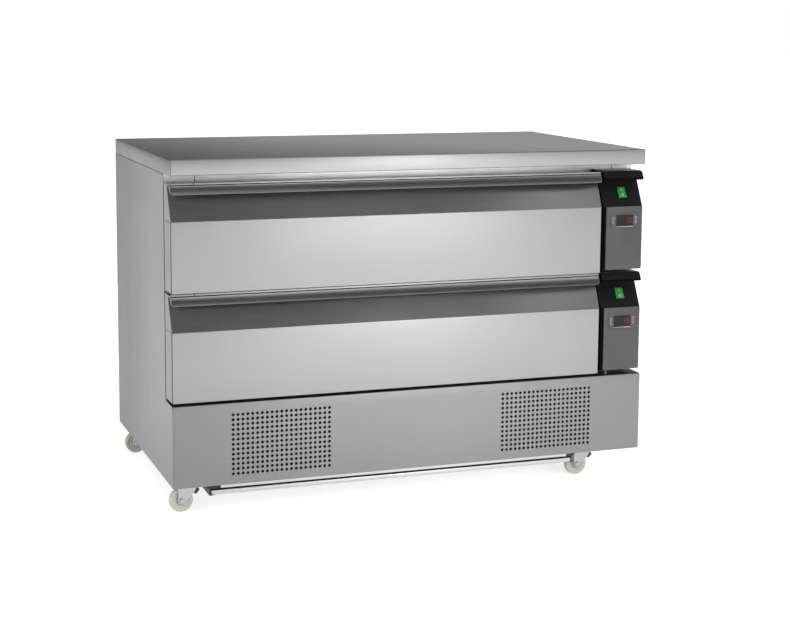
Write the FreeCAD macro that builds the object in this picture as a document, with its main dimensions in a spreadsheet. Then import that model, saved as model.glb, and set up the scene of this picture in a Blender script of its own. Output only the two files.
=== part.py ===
import FreeCAD, Part
import os
import re
import Sketcher

# Refrigerated drawer counter: two wide drawers on telescopic slides, a plinth that holds two cooling
# units, a control unit beside each drawer, a slung drip tray and four braked castors.
# Millimetres. X to the right, Y to the back, Z up. The origin is on the floor under the middle.

Vector = FreeCAD.Vector
Rotation = FreeCAD.Rotation
Placement = FreeCAD.Placement

# Sizes that a designer sets, each written once
SIZES = {
    # the whole counter
    "overall_width": 1230, "overall_height": 850, "body_depth": 700, "castor_height": 70,
    "worktop_height": 38, "worktop_round": 2.5, "head_gap": 21.4, "plinth_height": 198.6, "front_recess": 77,
    "skin": 1.2, "corner_round": 6, "edge_inset": 20, "edge_drop": 6.6,
    # insulated body
    "wall": 60, "back_wall": 62, "liner": 1, "frame_depth": 20, "stile_width": 75,
    "column_width": 89, "opening_drop": 15, "opening_rise": 27, "vent_length": 110,
    "vent_height": 6, "vent_pitch": 16, "vent_rise": 40,
    # drawer fronts
    "control_space": 121, "drawer_gap": 6.5, "slant_depth": 38, "slant_rise": 83.1, "lip_height": 23,
    "lip_plate": 3, "lip_lean": 10, "lip_round": 6, "front_sheet": 1.2, "inner_sheet": 1.2,
    "gasket_depth": 9.7, "gasket_width": 14, "gasket_inset": 16, "seal_gap": 0.3,
    # pan frame and slides
    "slide_space": 13, "slide_height": 45, "slide_sheet": 1.5, "slide_play": 0.8, "slide_end_gap": 15,
    "slide_drop": 76, "slide_setback": 6, "rail_height": 62, "rail_ledge": 14, "rail_sheet": 1.5,
    "rail_drop": 34, "frame_end_gap": 28, "cross_bar": 20, "cross_sheet": 3, "end_bar": 18,
    # control units
    "housing_gap": 6, "housing_inset": 4, "housing_wall": 2.5, "hood_rise": 5, "hood_height": 23,
    "hood_lean": 10, "hood_edge": 6, "housing_rise": 6.5, "fascia_inset": 9, "fascia_plate": 2,
    "fascia_round": 5, "bezel_plate": 2, "bezel_width": 80, "bezel_height": 35, "bezel_drop": 34.9,
    "module_width": 75, "module_height": 29, "module_depth": 42, "window_width": 48,
    "window_height": 26, "window_plate": 0.8, "key_width": 8, "key_height": 22, "key_plate": 3,
    "key_play": 0.2, "key_travel": 0.6, "panel_fit": 0.3,
    "switch_width": 26, "switch_height": 34, "switch_flange": 1.5, "switch_depth": 24,
    "rocker_width": 21.4, "rocker_height": 29, "rocker_rise": 3, "rocker_body": 6,
    "rocker_play": 0.5, "rocker_tilt": 6, "rocker_dip": 1,
    # grille fields in the plinth
    "grille_pitch": 26.5, "grille_columns": 10, "grille_rows": 6, "hole_side": 15, "grille_inset": 266,
    "grille_rise": 24,
    # castors
    "castor_left": 45, "castor_right": 140, "castor_front": 52, "castor_rear": 76,
    "wheel_radius": 28.5, "wheel_width": 17, "hub_radius": 11, "hub_proud": 1.5, "wheel_trail": 16,
    "axle_radius": 4, "axle_play": 0.05, "plate_side": 60, "plate_sheet": 2.5, "fork_sheet": 2.5,
    "fork_play": 0.5, "crown_gap": 3, "race_radius": 17, "race_gap": 0.3, "king_radius": 5,
    "nut_radius": 6.4, "foot_half": 9, "foot_corner": 5, "brow_reach": 22.5, "pedal_pin": 2.5,
    "pedal_out": 12.5, "pedal_low": 20, "pedal_wall": 2, "pedal_length": 13, "pedal_lift": 5,
    "pedal_width": 18,
    # drip tray
    "tray_start": 95, "tray_stop": 186, "tray_set": 12, "tray_back_gap": 168, "tray_lip": 11.5,
    "tray_bottom": 44.3, "tray_sheet": 1.2, "tray_hem": 20, "guide_web": 3, "guide_play": 1,
    "guide_foot": 9, "guide_sheet": 2, "guide_setback": 4, "guide_flange": 14, "guide_edge": 5,
    "guide_step": 12, "tray_play": 0.3,
    # cooling units
    "coil_width": 250, "coil_depth": 40, "coil_height": 140, "coil_setback": 30, "coil_rise": 8,
    "fan_gap": 10, "fan_radius": 62, "fan_hub": 19, "fan_depth": 16, "blade_sheet": 2.5,
    "blade_pitch": 28, "motor_radius": 24, "motor_depth": 42, "shaft_radius": 3, "shaft_play": 0.05,
    "bracket_sheet": 3, "bracket_width": 50, "shell_radius": 76, "shell_height": 132, "shell_round": 34,
    "shell_setback": 230, "foot_height": 14, "foot_radius": 12, "foot_spread": 64, "foot_bar": 26,
    "cooler_depth": 50, "cooler_length": 340, "cooler_inset": 22, "cooler_fan": 43, "cooler_hub": 14,
    "cooler_motor": 17, "cooler_motor_depth": 20, "duct_hole": 46, "duct_rise": 58, "duct_setback": 248,
    "pipe_radius": 5, "pipe_rise": 176, "pipe_inset": 26, "pipe_hole": 5.4, "pipe_step": 26,
    "riser_inset": 30, "overrun": 1,
}

# Places that follow from the sizes
PLACES = {
    "left": "-overall_width / 2",
    "right": "overall_width / 2",
    "front": "-body_depth / 2",
    "back": "body_depth / 2",
    "base": "castor_height",
    "plinth_top": "castor_height + plinth_height",
    "top_under": "overall_height - worktop_height",
    "frame_front": "front + front_recess",
    "frame_back": "frame_front + frame_depth",
    "drawer_height": "(top_under - head_gap - (plinth_top)) / 2 - drawer_gap",
    "face_height": "drawer_height - lip_plate - slant_rise",
    "lower_bottom": "plinth_top + drawer_gap",
    "upper_bottom": "lower_bottom + drawer_height + drawer_gap",
    "opening_left": "left + wall",
    "column_left": "right - column_width",
    "opening_right": "column_left - stile_width",
    "cavity_right": "right - wall",
    "cavity_back": "back - back_wall",
    "drawer_right": "right - control_space",
    "drawer_width": "drawer_right - (left)",
    "panel_back": "frame_front - seal_gap - gasket_depth",
    "slide_length": "cavity_back - (frame_back) - slide_setback - slide_end_gap",
    "frame_length": "cavity_back - (panel_back) - frame_end_gap",
    "housing_left": "drawer_right + housing_gap",
    "housing_right": "right - housing_inset",
    "fascia_left": "housing_left + fascia_inset",
    "control_middle": "(fascia_left + housing_right) / 2",
    "bezel_rise": "face_height - bezel_drop",
    "fascia_front": "front + bezel_plate",
    "housing_front": "fascia_front + fascia_plate",
    "wheel_outer": "wheel_width / 2 + hub_proud",
    "cheek_inner": "wheel_outer + fork_play",
    "crown_under": "2 * wheel_radius + crown_gap",
    "tray_left": "left + tray_start",
    "tray_right": "right - tray_stop",
    "tray_depth": "body_depth - tray_set - tray_back_gap",
    "guide_under": "tray_bottom - tray_play - guide_sheet",
    "grille_offset": "overall_width / 2 - grille_inset",
    "coil_front": "front + coil_setback",
    "coil_back": "coil_front + coil_depth",
    "fan_front": "coil_back + fan_gap",
    "coil_middle": "base + skin + coil_rise + coil_height / 2",
    "motor_front": "fan_front + fan_depth + fan_gap / 2",
    "duct_face": "opening_right + skin",
    "cooler_left": "cavity_right - cooler_depth",
    "duct_place": "cavity_back - duct_setback",
    "shell_place": "back - shell_setback",
    "pipe_back": "cavity_back - pipe_inset",
    "pipe_level": "base + pipe_rise",
}

doc = FreeCAD.newDocument("drawer_counter")
sheet = doc.addObject("Spreadsheet::Sheet", "Sizes")
for row, (alias, number) in enumerate(SIZES.items(), start=1):
    sheet.set(f"A{row}", alias)
    sheet.set(f"B{row}", str(number))
    sheet.setAlias(f"B{row}", alias)
doc.recompute()

NODES = []
CLOSE = 0.01
WORD = re.compile(r"[a-z][a-z_]*")


def spell(text):
    """Write a plain expression in the sheet's own words."""
    def swap(match):
        word = match.group(0)
        if word in PLACES:
            return "(" + spell(PLACES[word]) + ")"
        return "Sizes." + word if word in SIZES else word
    return WORD.sub(swap, text)


def bind(thing, prop, text):
    thing.setExpression(prop, spell(text))


def place(thing, x="0", y="0", z="0"):
    bind(thing, "Placement.Base.x", x)
    bind(thing, "Placement.Base.y", y)
    bind(thing, "Placement.Base.z", z)
    return thing


def node(name, thing):
    """Name one finished piece of the counter."""
    thing.Label = name
    NODES.append(thing)
    return thing


def block(x, y, z, wide, deep, high):
    box = doc.addObject("Part::Box", "block")
    bind(box, "Length", wide)
    bind(box, "Width", deep)
    bind(box, "Height", high)
    return place(box, x, y, z)


def span(x_low, x_high, y_low, y_high, z_low, z_high):
    """A block given by the places of its six faces."""
    return block(x_low, y_low, z_low, f"({x_high}) - ({x_low})", f"({y_high}) - ({y_low})",
                 f"({z_high}) - ({z_low})")


TURNS = {"x": Rotation(Vector(0, 1, 0), 90), "y": Rotation(Vector(1, 0, 0), -90), "z": Rotation()}


def rod(axis, x, y, z, radius, length):
    """A cylinder that starts at a point and runs along plus X, Y or Z."""
    cylinder = doc.addObject("Part::Cylinder", "rod")
    cylinder.Placement = Placement(Vector(), TURNS[axis])
    bind(cylinder, "Radius", radius)
    bind(cylinder, "Height", length)
    return place(cylinder, x, y, z)


def bar(axis, x, y, z, radius, length, sides):
    """A many-sided rod, for what is hidden or need not turn."""
    prism = doc.addObject("Part::Prism", "bar")
    prism.Polygon = sides
    prism.Placement = Placement(Vector(), TURNS[axis])
    bind(prism, "Circumradius", radius)
    bind(prism, "Height", length)
    return place(prism, x, y, z)


def cut(base, *tools):
    for tool in tools:
        result = doc.addObject("Part::Cut", "cut")
        result.Base = base
        result.Tool = tool
        base = result
    return base


def fuse(*pieces):
    joined = doc.addObject("Part::MultiFuse", "joined")
    joined.Shapes = list(pieces)
    return joined


def group(*pieces):
    """Several separate solids that share one node."""
    together = doc.addObject("Part::Compound", "group")
    together.Links = list(pieces)
    return together


def outline(body, plane, points, offset):
    """A closed sketch of straight lines, each corner bound to the sheet."""
    planes = {feature.Role: feature for feature in body.Origin.OriginFeatures}
    sketch = body.newObject("Sketcher::SketchObject", "outline")
    sketch.AttachmentSupport = [(planes[plane], "")]
    sketch.MapMode = "FlatFace"
    bind(sketch, "AttachmentOffset.Base.z", offset)
    count = len(points)
    spots = [Vector(index + 1, index * index + 1, 0) for index in range(count)]
    for index in range(count):
        sketch.addGeometry(Part.LineSegment(spots[index], spots[(index + 1) % count]), False)
    for index in range(count):
        sketch.addConstraint(Sketcher.Constraint("Coincident", index, 2, (index + 1) % count, 1))
    for index, (across, up) in enumerate(points):
        for kind, text in (("DistanceX", across), ("DistanceY", up)):
            number = sketch.addConstraint(Sketcher.Constraint(kind, -1, 1, index, 1, 1.0 + index))
            bind(sketch, f"Constraints[{number}]", text)
    return sketch


def profile(plane, points, offset, length):
    """A body made of one outline, padded along its plane's normal."""
    body = doc.addObject("PartDesign::Body", "profile")
    pad = body.newObject("PartDesign::Pad", "pad")
    pad.Profile = outline(body, plane, points, offset)
    bind(pad, "Length", length)
    doc.recompute()
    return body


def along_x(points, x, length):
    """An outline of Y and Z, padded to the right from x."""
    return profile("YZ_Plane", points, x, length)


def along_y(points, y, length):
    """An outline of X and Z, padded to the back from y."""
    return profile("XZ_Plane", points, f"-({y}) - ({length})", length)


def rounded(body, radius, wanted):
    """Round the edges of a body that wanted picks."""
    doc.recompute()
    last = body.Tip
    picked = [f"Edge{index}" for index, edge in enumerate(body.Shape.Edges, start=1) if wanted(edge)]
    fillet = body.newObject("PartDesign::Fillet", "round")
    fillet.Base = (last, picked)
    bind(fillet, "Radius", radius)
    return body


def runs(edge, axis):
    """Whether a straight edge runs along an axis."""
    if len(edge.Vertexes) != 2:
        return False
    way = edge.Vertexes[1].Point - edge.Vertexes[0].Point
    parts = {"x": way.x, "y": way.y, "z": way.z}
    return way.Length - abs(parts[axis]) < CLOSE


# Worktop: a folded sheet over a core
worktop_block = along_x([("front", "top_under"), ("front", "overall_height"), ("back", "overall_height"),
                         ("back", "top_under")], "left", "overall_width")
rounded(worktop_block, "worktop_round",
        lambda edge: edge.BoundBox.ZMin > worktop_block.Tip.Shape.BoundBox.ZMax - CLOSE)
worktop_inside = span("left + skin", "right - skin", "front + skin", "back - skin",
                      "top_under", "overall_height - worktop_round")
node("worktop", cut(worktop_block, worktop_inside))

# Side panels: one sheet each, cut back above the plinth so that the drawer fronts close over them
for side, x in (("left", "left"), ("right", "right - skin")):
    panel = along_x([("front", "base"), ("front", "plinth_top"), ("frame_front", "plinth_top"),
                     ("frame_front", "top_under"), ("back", "top_under"), ("back", "base")], x, "skin")
    notch_front = sheet.castor_height + sheet.plinth_height
    rounded(panel, "corner_round", lambda edge: runs(edge, "x")
            and abs(edge.Vertexes[0].Z - notch_front) < CLOSE
            and abs(edge.Vertexes[0].Y + sheet.body_depth / 2) < CLOSE)
    node(f"side_panel_{side}", panel)

# Base pan with a turned-down front edge between the tray runners, and the back panel with its vents
node("base_pan", fuse(
    span("left + skin", "right - skin", "front + skin", "back - skin", "base", "base + skin"),
    span("tray_left + edge_inset", "tray_right - edge_inset", "front + skin", "front + 2 * skin",
         "base - edge_drop", "base + skin")))
back_sheet = span("left + skin", "right - skin", "back - skin", "back", "base", "top_under")
vents = []
for sign in ("-", ""):
    for index in range(4):
        vents.append(block(f"{sign}grille_offset - vent_length / 2", "back - 2 * skin",
                           f"base + vent_rise + {index} * vent_pitch", "vent_length", "3 * skin",
                           "vent_height"))
node("back_panel", cut(back_sheet, group(*vents)))

# Plinth front: a face and a ledge in one fold, with two perforated fields
plinth = along_x([("front", "base"), ("front", "plinth_top"), ("frame_front", "plinth_top"),
                  ("frame_front", "plinth_top - skin"), ("front + skin", "plinth_top - skin"),
                  ("front + skin", "base")], "left + skin", "overall_width - 2 * skin")


def grille_field(sign):
    """One field of holes: bars across the rows, cut by the gaps between the columns."""
    holes = []
    low = f"{sign}grille_offset - (grille_columns - 1) * grille_pitch / 2 - hole_side / 2"
    for column in range(int(sheet.grille_columns)):
        for row in range(int(sheet.grille_rows)):
            holes.append(block(f"{low} + {column} * grille_pitch", "front - skin",
                               f"base + grille_rise - hole_side / 2 + {row} * grille_pitch",
                               "hole_side", "3 * skin", "hole_side"))
    return group(*holes)


node("plinth_front", cut(plinth, grille_field("-"), grille_field("")))

# Front frame: two stiles and three rails of folded sheet, and the column behind the control units
LEVELS = {"upper": "upper_bottom", "lower": "lower_bottom"}
PLACES["lower_open_bottom"] = "lower_bottom + opening_rise"
PLACES["lower_open_top"] = "lower_bottom + drawer_height - opening_drop"
PLACES["upper_open_bottom"] = "upper_bottom + opening_rise"
PLACES["upper_open_top"] = "upper_bottom + drawer_height - opening_drop"


def frame_bar(x_low, x_high, z_low, z_high):
    return span(x_low, x_high, "frame_front", "frame_back", z_low, z_high)


node("front_frame", group(
    frame_bar("left + skin", "opening_left", "plinth_top", "top_under"),
    frame_bar("opening_right", "column_left", "plinth_top", "top_under"),
    frame_bar("opening_left", "opening_right", "plinth_top", "lower_open_bottom"),
    frame_bar("opening_left", "opening_right", "lower_open_top", "upper_open_bottom"),
    frame_bar("opening_left", "opening_right", "upper_open_top", "top_under")))
column_block = frame_bar("column_left", "right - skin", "plinth_top", "top_under")
column_inside = span("column_left + skin", "right - 2 * skin", "frame_front + skin",
                     "frame_back", "plinth_top + skin", "top_under - skin")
node("control_column", cut(column_block, column_inside))

# Risers: one refrigerant pipe per cooling unit climbs inside the fan side of the cavities
RISERS = {"lower": "duct_face + riser_inset", "upper": "duct_face + riser_inset + pipe_step"}


def riser_back(level):
    return "pipe_back" if level == "upper" else "pipe_back - pipe_step"


def riser_hole(level):
    return bar("z", RISERS[level], riser_back(level), "plinth_top - liner", "pipe_hole",
               f"{level}_open_bottom - (plinth_top) + 2 * liner", 8)


# Insulation: foam slabs round the cavities and a core under the worktop
LINER_LEFT = "opening_left - liner"
LINER_RIGHT = "cavity_right + liner"
LINER_BACK = "cavity_back + liner"


def foam(z_low, z_high):
    return span(LINER_LEFT, LINER_RIGHT, "frame_back", LINER_BACK, z_low, z_high)


floor_foam = cut(foam("plinth_top", "lower_open_bottom - liner"), riser_hole("lower"),
                 riser_hole("upper"))
middle_foam = cut(foam("lower_open_top + liner", "upper_open_bottom - liner"), riser_hole("upper"))
node("insulation", group(
    span("left + skin", LINER_LEFT, "frame_back", "back - skin", "plinth_top", "top_under"),
    span(LINER_RIGHT, "right - skin", "frame_back", "back - skin", "plinth_top", "top_under"),
    span(LINER_LEFT, LINER_RIGHT, LINER_BACK, "back - skin", "plinth_top", "top_under"),
    floor_foam, middle_foam, foam("upper_open_top + liner", "top_under"),
    span("left + skin", "right - skin", "front + skin", "back - skin", "top_under",
         "overall_height - worktop_round")))

# Cavity liners: one smooth box per drawer, open at the front
liners = []
for level in LEVELS:
    shell = span(LINER_LEFT, LINER_RIGHT, "frame_back", LINER_BACK, f"{level}_open_bottom - liner",
                 f"{level}_open_top + liner")
    inside = span("opening_left", "cavity_right", "frame_front", "cavity_back",
                  f"{level}_open_bottom", f"{level}_open_top")
    holes = [riser_hole("upper")]
    if level == "lower":
        holes.append(riser_hole("lower"))
    liners.append(cut(shell, inside, *holes))
node("cavity_liners", group(*liners))

# Air ducts: a panel each beside the drawer, with a round mouth for the fan
ducts = []
for level in LEVELS:
    duct_panel = span("opening_right", "duct_face", "frame_back", "cavity_back",
                      f"{level}_open_bottom", f"{level}_open_top")
    mouth = bar("x", "opening_right - skin", "duct_place", f"{level}_open_bottom + duct_rise",
                "duct_hole", "3 * skin", 20)
    ducts.append(cut(duct_panel, mouth))
node("air_ducts", group(*ducts))


# Telescopic slides: outer member on the cavity wall, middle one, inner one on the pan frame
def channel(wall, sign, start, stop, half, web_first):
    """A C section: its web stands at one end of its reach from the wall."""
    near = f"{wall} {sign} ({start})"
    far = f"{wall} {sign} ({stop})"
    web = near if web_first else far
    tip = far if web_first else near
    way = sign if web_first else {"+": "-", "-": "+"}[sign]
    inner = f"{web} {way} slide_sheet"
    return lambda middle: [
        (web, f"{middle} - ({half})"), (web, f"{middle} + {half}"), (tip, f"{middle} + {half}"),
        (tip, f"{middle} + {half} - slide_sheet"), (inner, f"{middle} + {half} - slide_sheet"),
        (inner, f"{middle} - ({half}) + slide_sheet"), (tip, f"{middle} - ({half}) + slide_sheet"),
        (tip, f"{middle} - ({half})")]


STEP = "(slide_sheet + slide_play)"
MEMBERS = {
    "outer": ("0", "slide_space - slide_sheet - slide_play", "slide_height / 2", True),
    "middle": (STEP, "slide_space - slide_sheet - slide_play", f"slide_height / 2 - {STEP}", True),
    "inner": (f"2 * {STEP}", "slide_space", f"slide_height / 2 - 2 * {STEP}", False),
}


def slide_pair(level, member):
    """The left and right members of one drawer's slides."""
    start, stop, half, web_first = MEMBERS[member]
    middle = f"{level}_open_top - slide_drop"
    pair = []
    for wall, sign in (("opening_left", "+"), ("opening_right", "-")):
        section = channel(wall, sign, start, stop, half, web_first)(middle)
        pair.append(along_y(section, "frame_back + slide_setback", "slide_length"))
    return pair


node("slide_outer_members", group(*slide_pair("upper", "outer"), *slide_pair("lower", "outer")))
for level in LEVELS:
    node(f"slide_middle_{level}", group(*slide_pair(level, "middle")))


# Drawers: front skin with folded handle lip, foam core, inner panel, gasket and pan frame
def drawer_section(bottom, sheet_in, back_face):
    """The outer section of the front, or with sheet_in the foam inside it."""
    top = f"{bottom} + drawer_height"
    if not sheet_in:
        return [("front", bottom), ("front", f"{bottom} + face_height"),
                ("front + slant_depth", f"{top} - lip_plate"),
                ("front + lip_lean + lip_plate", f"{top} - lip_plate"),
                ("front + lip_plate", f"{top} - lip_height"), ("front", f"{top} - lip_height"),
                ("front + lip_lean", top), (back_face, top), (back_face, bottom)]
    return [("front + front_sheet", f"{bottom} + front_sheet"),
            ("front + front_sheet", f"{bottom} + face_height"),
            ("front + slant_depth + front_sheet", f"{top} - lip_plate"),
            (back_face, f"{top} - lip_plate"), (back_face, f"{bottom} + front_sheet")]


for level, bottom in LEVELS.items():
    top = f"{bottom} + drawer_height"
    skin_back = "panel_back - inner_sheet"
    outer = along_x(drawer_section(bottom, False, skin_back), "left", "drawer_width")
    lip_tip = outer.Shape.BoundBox.ZMax - sheet.lip_height
    rounded(outer, "lip_round", lambda edge: runs(edge, "y") and edge.Length < 2 * sheet.lip_plate
            and abs(edge.Vertexes[0].Z - lip_tip) < CLOSE)
    core = along_x(drawer_section(bottom, True, skin_back), "left + front_sheet",
                   "drawer_width - 2 * front_sheet")
    node(f"drawer_core_{level}", core)
    node(f"drawer_front_{level}", cut(outer, core))
    node(f"drawer_inner_panel_{level}",
         span("left", "drawer_right", skin_back, "panel_back", bottom, top))
    gasket_out = span("left + gasket_inset", "drawer_right - gasket_inset", "panel_back",
                      "panel_back + gasket_depth", f"{level}_open_bottom - gasket_width",
                      f"{level}_open_top + gasket_width - seal_gap")
    gasket_in = span("left + gasket_inset + gasket_width",
                     "drawer_right - gasket_inset - gasket_width", "panel_back - overrun",
                     "panel_back + gasket_depth + overrun", f"{level}_open_bottom",
                     f"{level}_open_top - seal_gap")
    node(f"gasket_{level}", cut(gasket_out, gasket_in))
    rail_top = f"{level}_open_top - rail_drop"
    rails = []
    for wall, sign in (("opening_left", "+"), ("opening_right", "-")):
        face = f"{wall} {sign} slide_space"
        rails.append(along_y([
            (face, f"{rail_top} - rail_height"), (face, rail_top),
            (f"{face} {sign} rail_ledge", rail_top),
            (f"{face} {sign} rail_ledge", f"{rail_top} - rail_sheet"),
            (f"{face} {sign} rail_sheet", f"{rail_top} - rail_sheet"),
            (f"{face} {sign} rail_sheet", f"{rail_top} - rail_height")],
            "panel_back", "frame_length"))
    inner_left = "opening_left + slide_space + rail_sheet"
    inner_right = "opening_right - slide_space - rail_sheet"
    ledge_left = "opening_left + slide_space + rail_ledge"
    ledge_right = "opening_right - slide_space - rail_ledge"
    bars = [span(inner_left, inner_right, "panel_back", "panel_back + end_bar",
                 f"{rail_top} - rail_sheet - cross_sheet", f"{rail_top} - rail_sheet"),
            span(inner_left, inner_right, "panel_back + frame_length - end_bar",
                 "panel_back + frame_length", f"{rail_top} - rail_sheet - cross_sheet",
                 f"{rail_top} - rail_sheet")]
    for index in (1, 2):
        middle = f"({ledge_left} + {index} * ({ledge_right} - ({ledge_left})) / 3)"
        bars.append(span(f"{middle} - cross_bar / 2", f"{middle} + cross_bar / 2",
                         "panel_back + end_bar", "panel_back + frame_length - end_bar",
                         f"{rail_top} - rail_sheet - cross_sheet", f"{rail_top} - rail_sheet"))
    node(f"pan_frame_{level}", group(*rails, *bars, *slide_pair(level, "inner")))


# Control units: one moulded housing beside each drawer, with its fascia, thermostat and switch
def housing_section(bottom, hollow):
    top = f"{bottom} + drawer_height + hood_rise"
    low = f"{bottom} + housing_rise"
    face = f"{bottom} + face_height"
    under = f"{top} - hood_height"
    if not hollow:
        return [("housing_front", low), ("housing_front", face), ("front + slant_depth", under),
                ("front", under), ("front", f"{under} + hood_edge"), ("front + hood_lean", top),
                ("frame_front", top), ("frame_front", low)]
    return [("housing_front + housing_wall", f"{low} + housing_wall"),
            ("housing_front + housing_wall", face), ("front + slant_depth + housing_wall", under),
            ("front + slant_depth + housing_wall", f"{top} - housing_wall"),
            ("frame_front + overrun", f"{top} - housing_wall"),
            ("frame_front + overrun", f"{low} + housing_wall")]


def tilted(thing, level, tilt="0"):
    """Set a piece that is built upright onto the sloping part of the housing."""
    thing.Placement = Placement(Vector(), Rotation(Vector(-1, 0, 0), 30))
    bottom = LEVELS[level]
    place(thing, "control_middle", "(housing_front + front + slant_depth) / 2",
          f"{bottom} + (face_height + drawer_height + hood_rise - hood_height) / 2")
    bind(thing, "Placement.Rotation.Angle",
         "atan((front + slant_depth - (housing_front)) / "
         f"(drawer_height + hood_rise - hood_height - face_height)) + {tilt} * 1 deg")
    return thing


housings = []
fascias = []
thermostats = []
windows = []
switches = []
for level, bottom in LEVELS.items():
    bezel_low = f"{bottom} + bezel_rise - bezel_height / 2"
    module_middle = f"({bottom} + bezel_rise)"
    module_hole = span("control_middle - module_width / 2 - panel_fit",
                       "control_middle + module_width / 2 + panel_fit", "front - overrun",
                       "housing_front + 2 * housing_wall",
                       f"{module_middle} - module_height / 2 - panel_fit",
                       f"{module_middle} + module_height / 2 + panel_fit")
    switch_hole = tilted(group(span(
        "-rocker_width / 2 - rocker_play - skin - panel_fit",
        "rocker_width / 2 + rocker_play + skin + panel_fit", "-switch_depth", "switch_depth",
        "-rocker_height / 2 - rocker_play - skin - panel_fit",
        "rocker_height / 2 + rocker_play + skin + panel_fit")), level)
    solid = along_x(housing_section(bottom, False), "housing_left", "housing_right - (housing_left)")
    hollow = along_x(housing_section(bottom, True), "housing_left + housing_wall",
                     "housing_right - (housing_left) - 2 * housing_wall")
    housings.append(cut(solid, hollow, module_hole, switch_hole))
    low = f"{bottom} + housing_rise"
    high = f"{bottom} + face_height"
    plate = along_y([("fascia_left", low), ("housing_right", low), ("housing_right", high),
                     ("fascia_left", high)], "fascia_front", "fascia_plate")
    middle = plate.Shape.BoundBox.Center
    rounded(plate, "fascia_round", lambda edge: runs(edge, "y")
            and edge.Vertexes[0].X > middle.x and edge.Vertexes[0].Z < middle.z)
    fascias.append(cut(plate, module_hole))
    bezel = span("control_middle - bezel_width / 2", "control_middle + bezel_width / 2", "front",
                 "fascia_front", bezel_low, f"{bezel_low} + bezel_height")
    module = span("control_middle - module_width / 2", "control_middle + module_width / 2",
                  "fascia_front", "fascia_front + module_depth",
                  f"{module_middle} - module_height / 2", f"{module_middle} + module_height / 2")
    glass = span("control_middle - window_width / 2", "control_middle + window_width / 2", "front",
                 "front + window_plate", f"{module_middle} - window_height / 2",
                 f"{module_middle} + window_height / 2")
    windows.append(glass)
    wells = []
    for hand, sign in (("left", "-"), ("right", "+")):
        key_middle = f"(control_middle {sign} (window_width + bezel_width) / 4)"
        wells.append(span(f"{key_middle} - key_width / 2 - key_play",
                          f"{key_middle} + key_width / 2 + key_play", "front - overrun",
                          "front + key_plate + key_travel",
                          f"{module_middle} - key_height / 2 - key_play",
                          f"{module_middle} + key_height / 2 + key_play"))
        node(f"key_{hand}_{level}",
             span(f"{key_middle} - key_width / 2", f"{key_middle} + key_width / 2", "front",
                  "front + key_plate", f"{module_middle} - key_height / 2",
                  f"{module_middle} + key_height / 2"))
    thermostats.append(cut(fuse(bezel, module), glass, *wells))
    flange = span("-switch_width / 2", "switch_width / 2", "-switch_flange", "0",
                  "-switch_height / 2", "switch_height / 2")
    case = span("-rocker_width / 2 - rocker_play - skin", "rocker_width / 2 + rocker_play + skin",
                "0", "switch_depth", "-rocker_height / 2 - rocker_play - skin",
                "rocker_height / 2 + rocker_play + skin")
    well = span("-rocker_width / 2 - rocker_play", "rocker_width / 2 + rocker_play",
                "-2 * switch_flange", "rocker_body + 2 * rocker_rise",
                "-rocker_height / 2 - rocker_play", "rocker_height / 2 + rocker_play")
    switches.append(tilted(cut(fuse(flange, case), well), level))
    rocker = along_x([("-rocker_rise", "-rocker_height / 2"), ("-rocker_rise + rocker_dip", "0"),
                      ("-rocker_rise", "rocker_height / 2"), ("rocker_rise", "rocker_height / 2"),
                      ("rocker_body", "rocker_height / 4"), ("rocker_body", "-rocker_height / 4"),
                      ("rocker_rise", "-rocker_height / 2")], "-rocker_width / 2", "rocker_width")
    node(f"rocker_{level}", tilted(rocker, level, "rocker_tilt"))
node("control_housings", group(*housings))
node("control_fascias", group(*fascias))
node("thermostats", group(*thermostats))
node("display_windows", group(*windows))
node("switch_frames", group(*switches))

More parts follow.
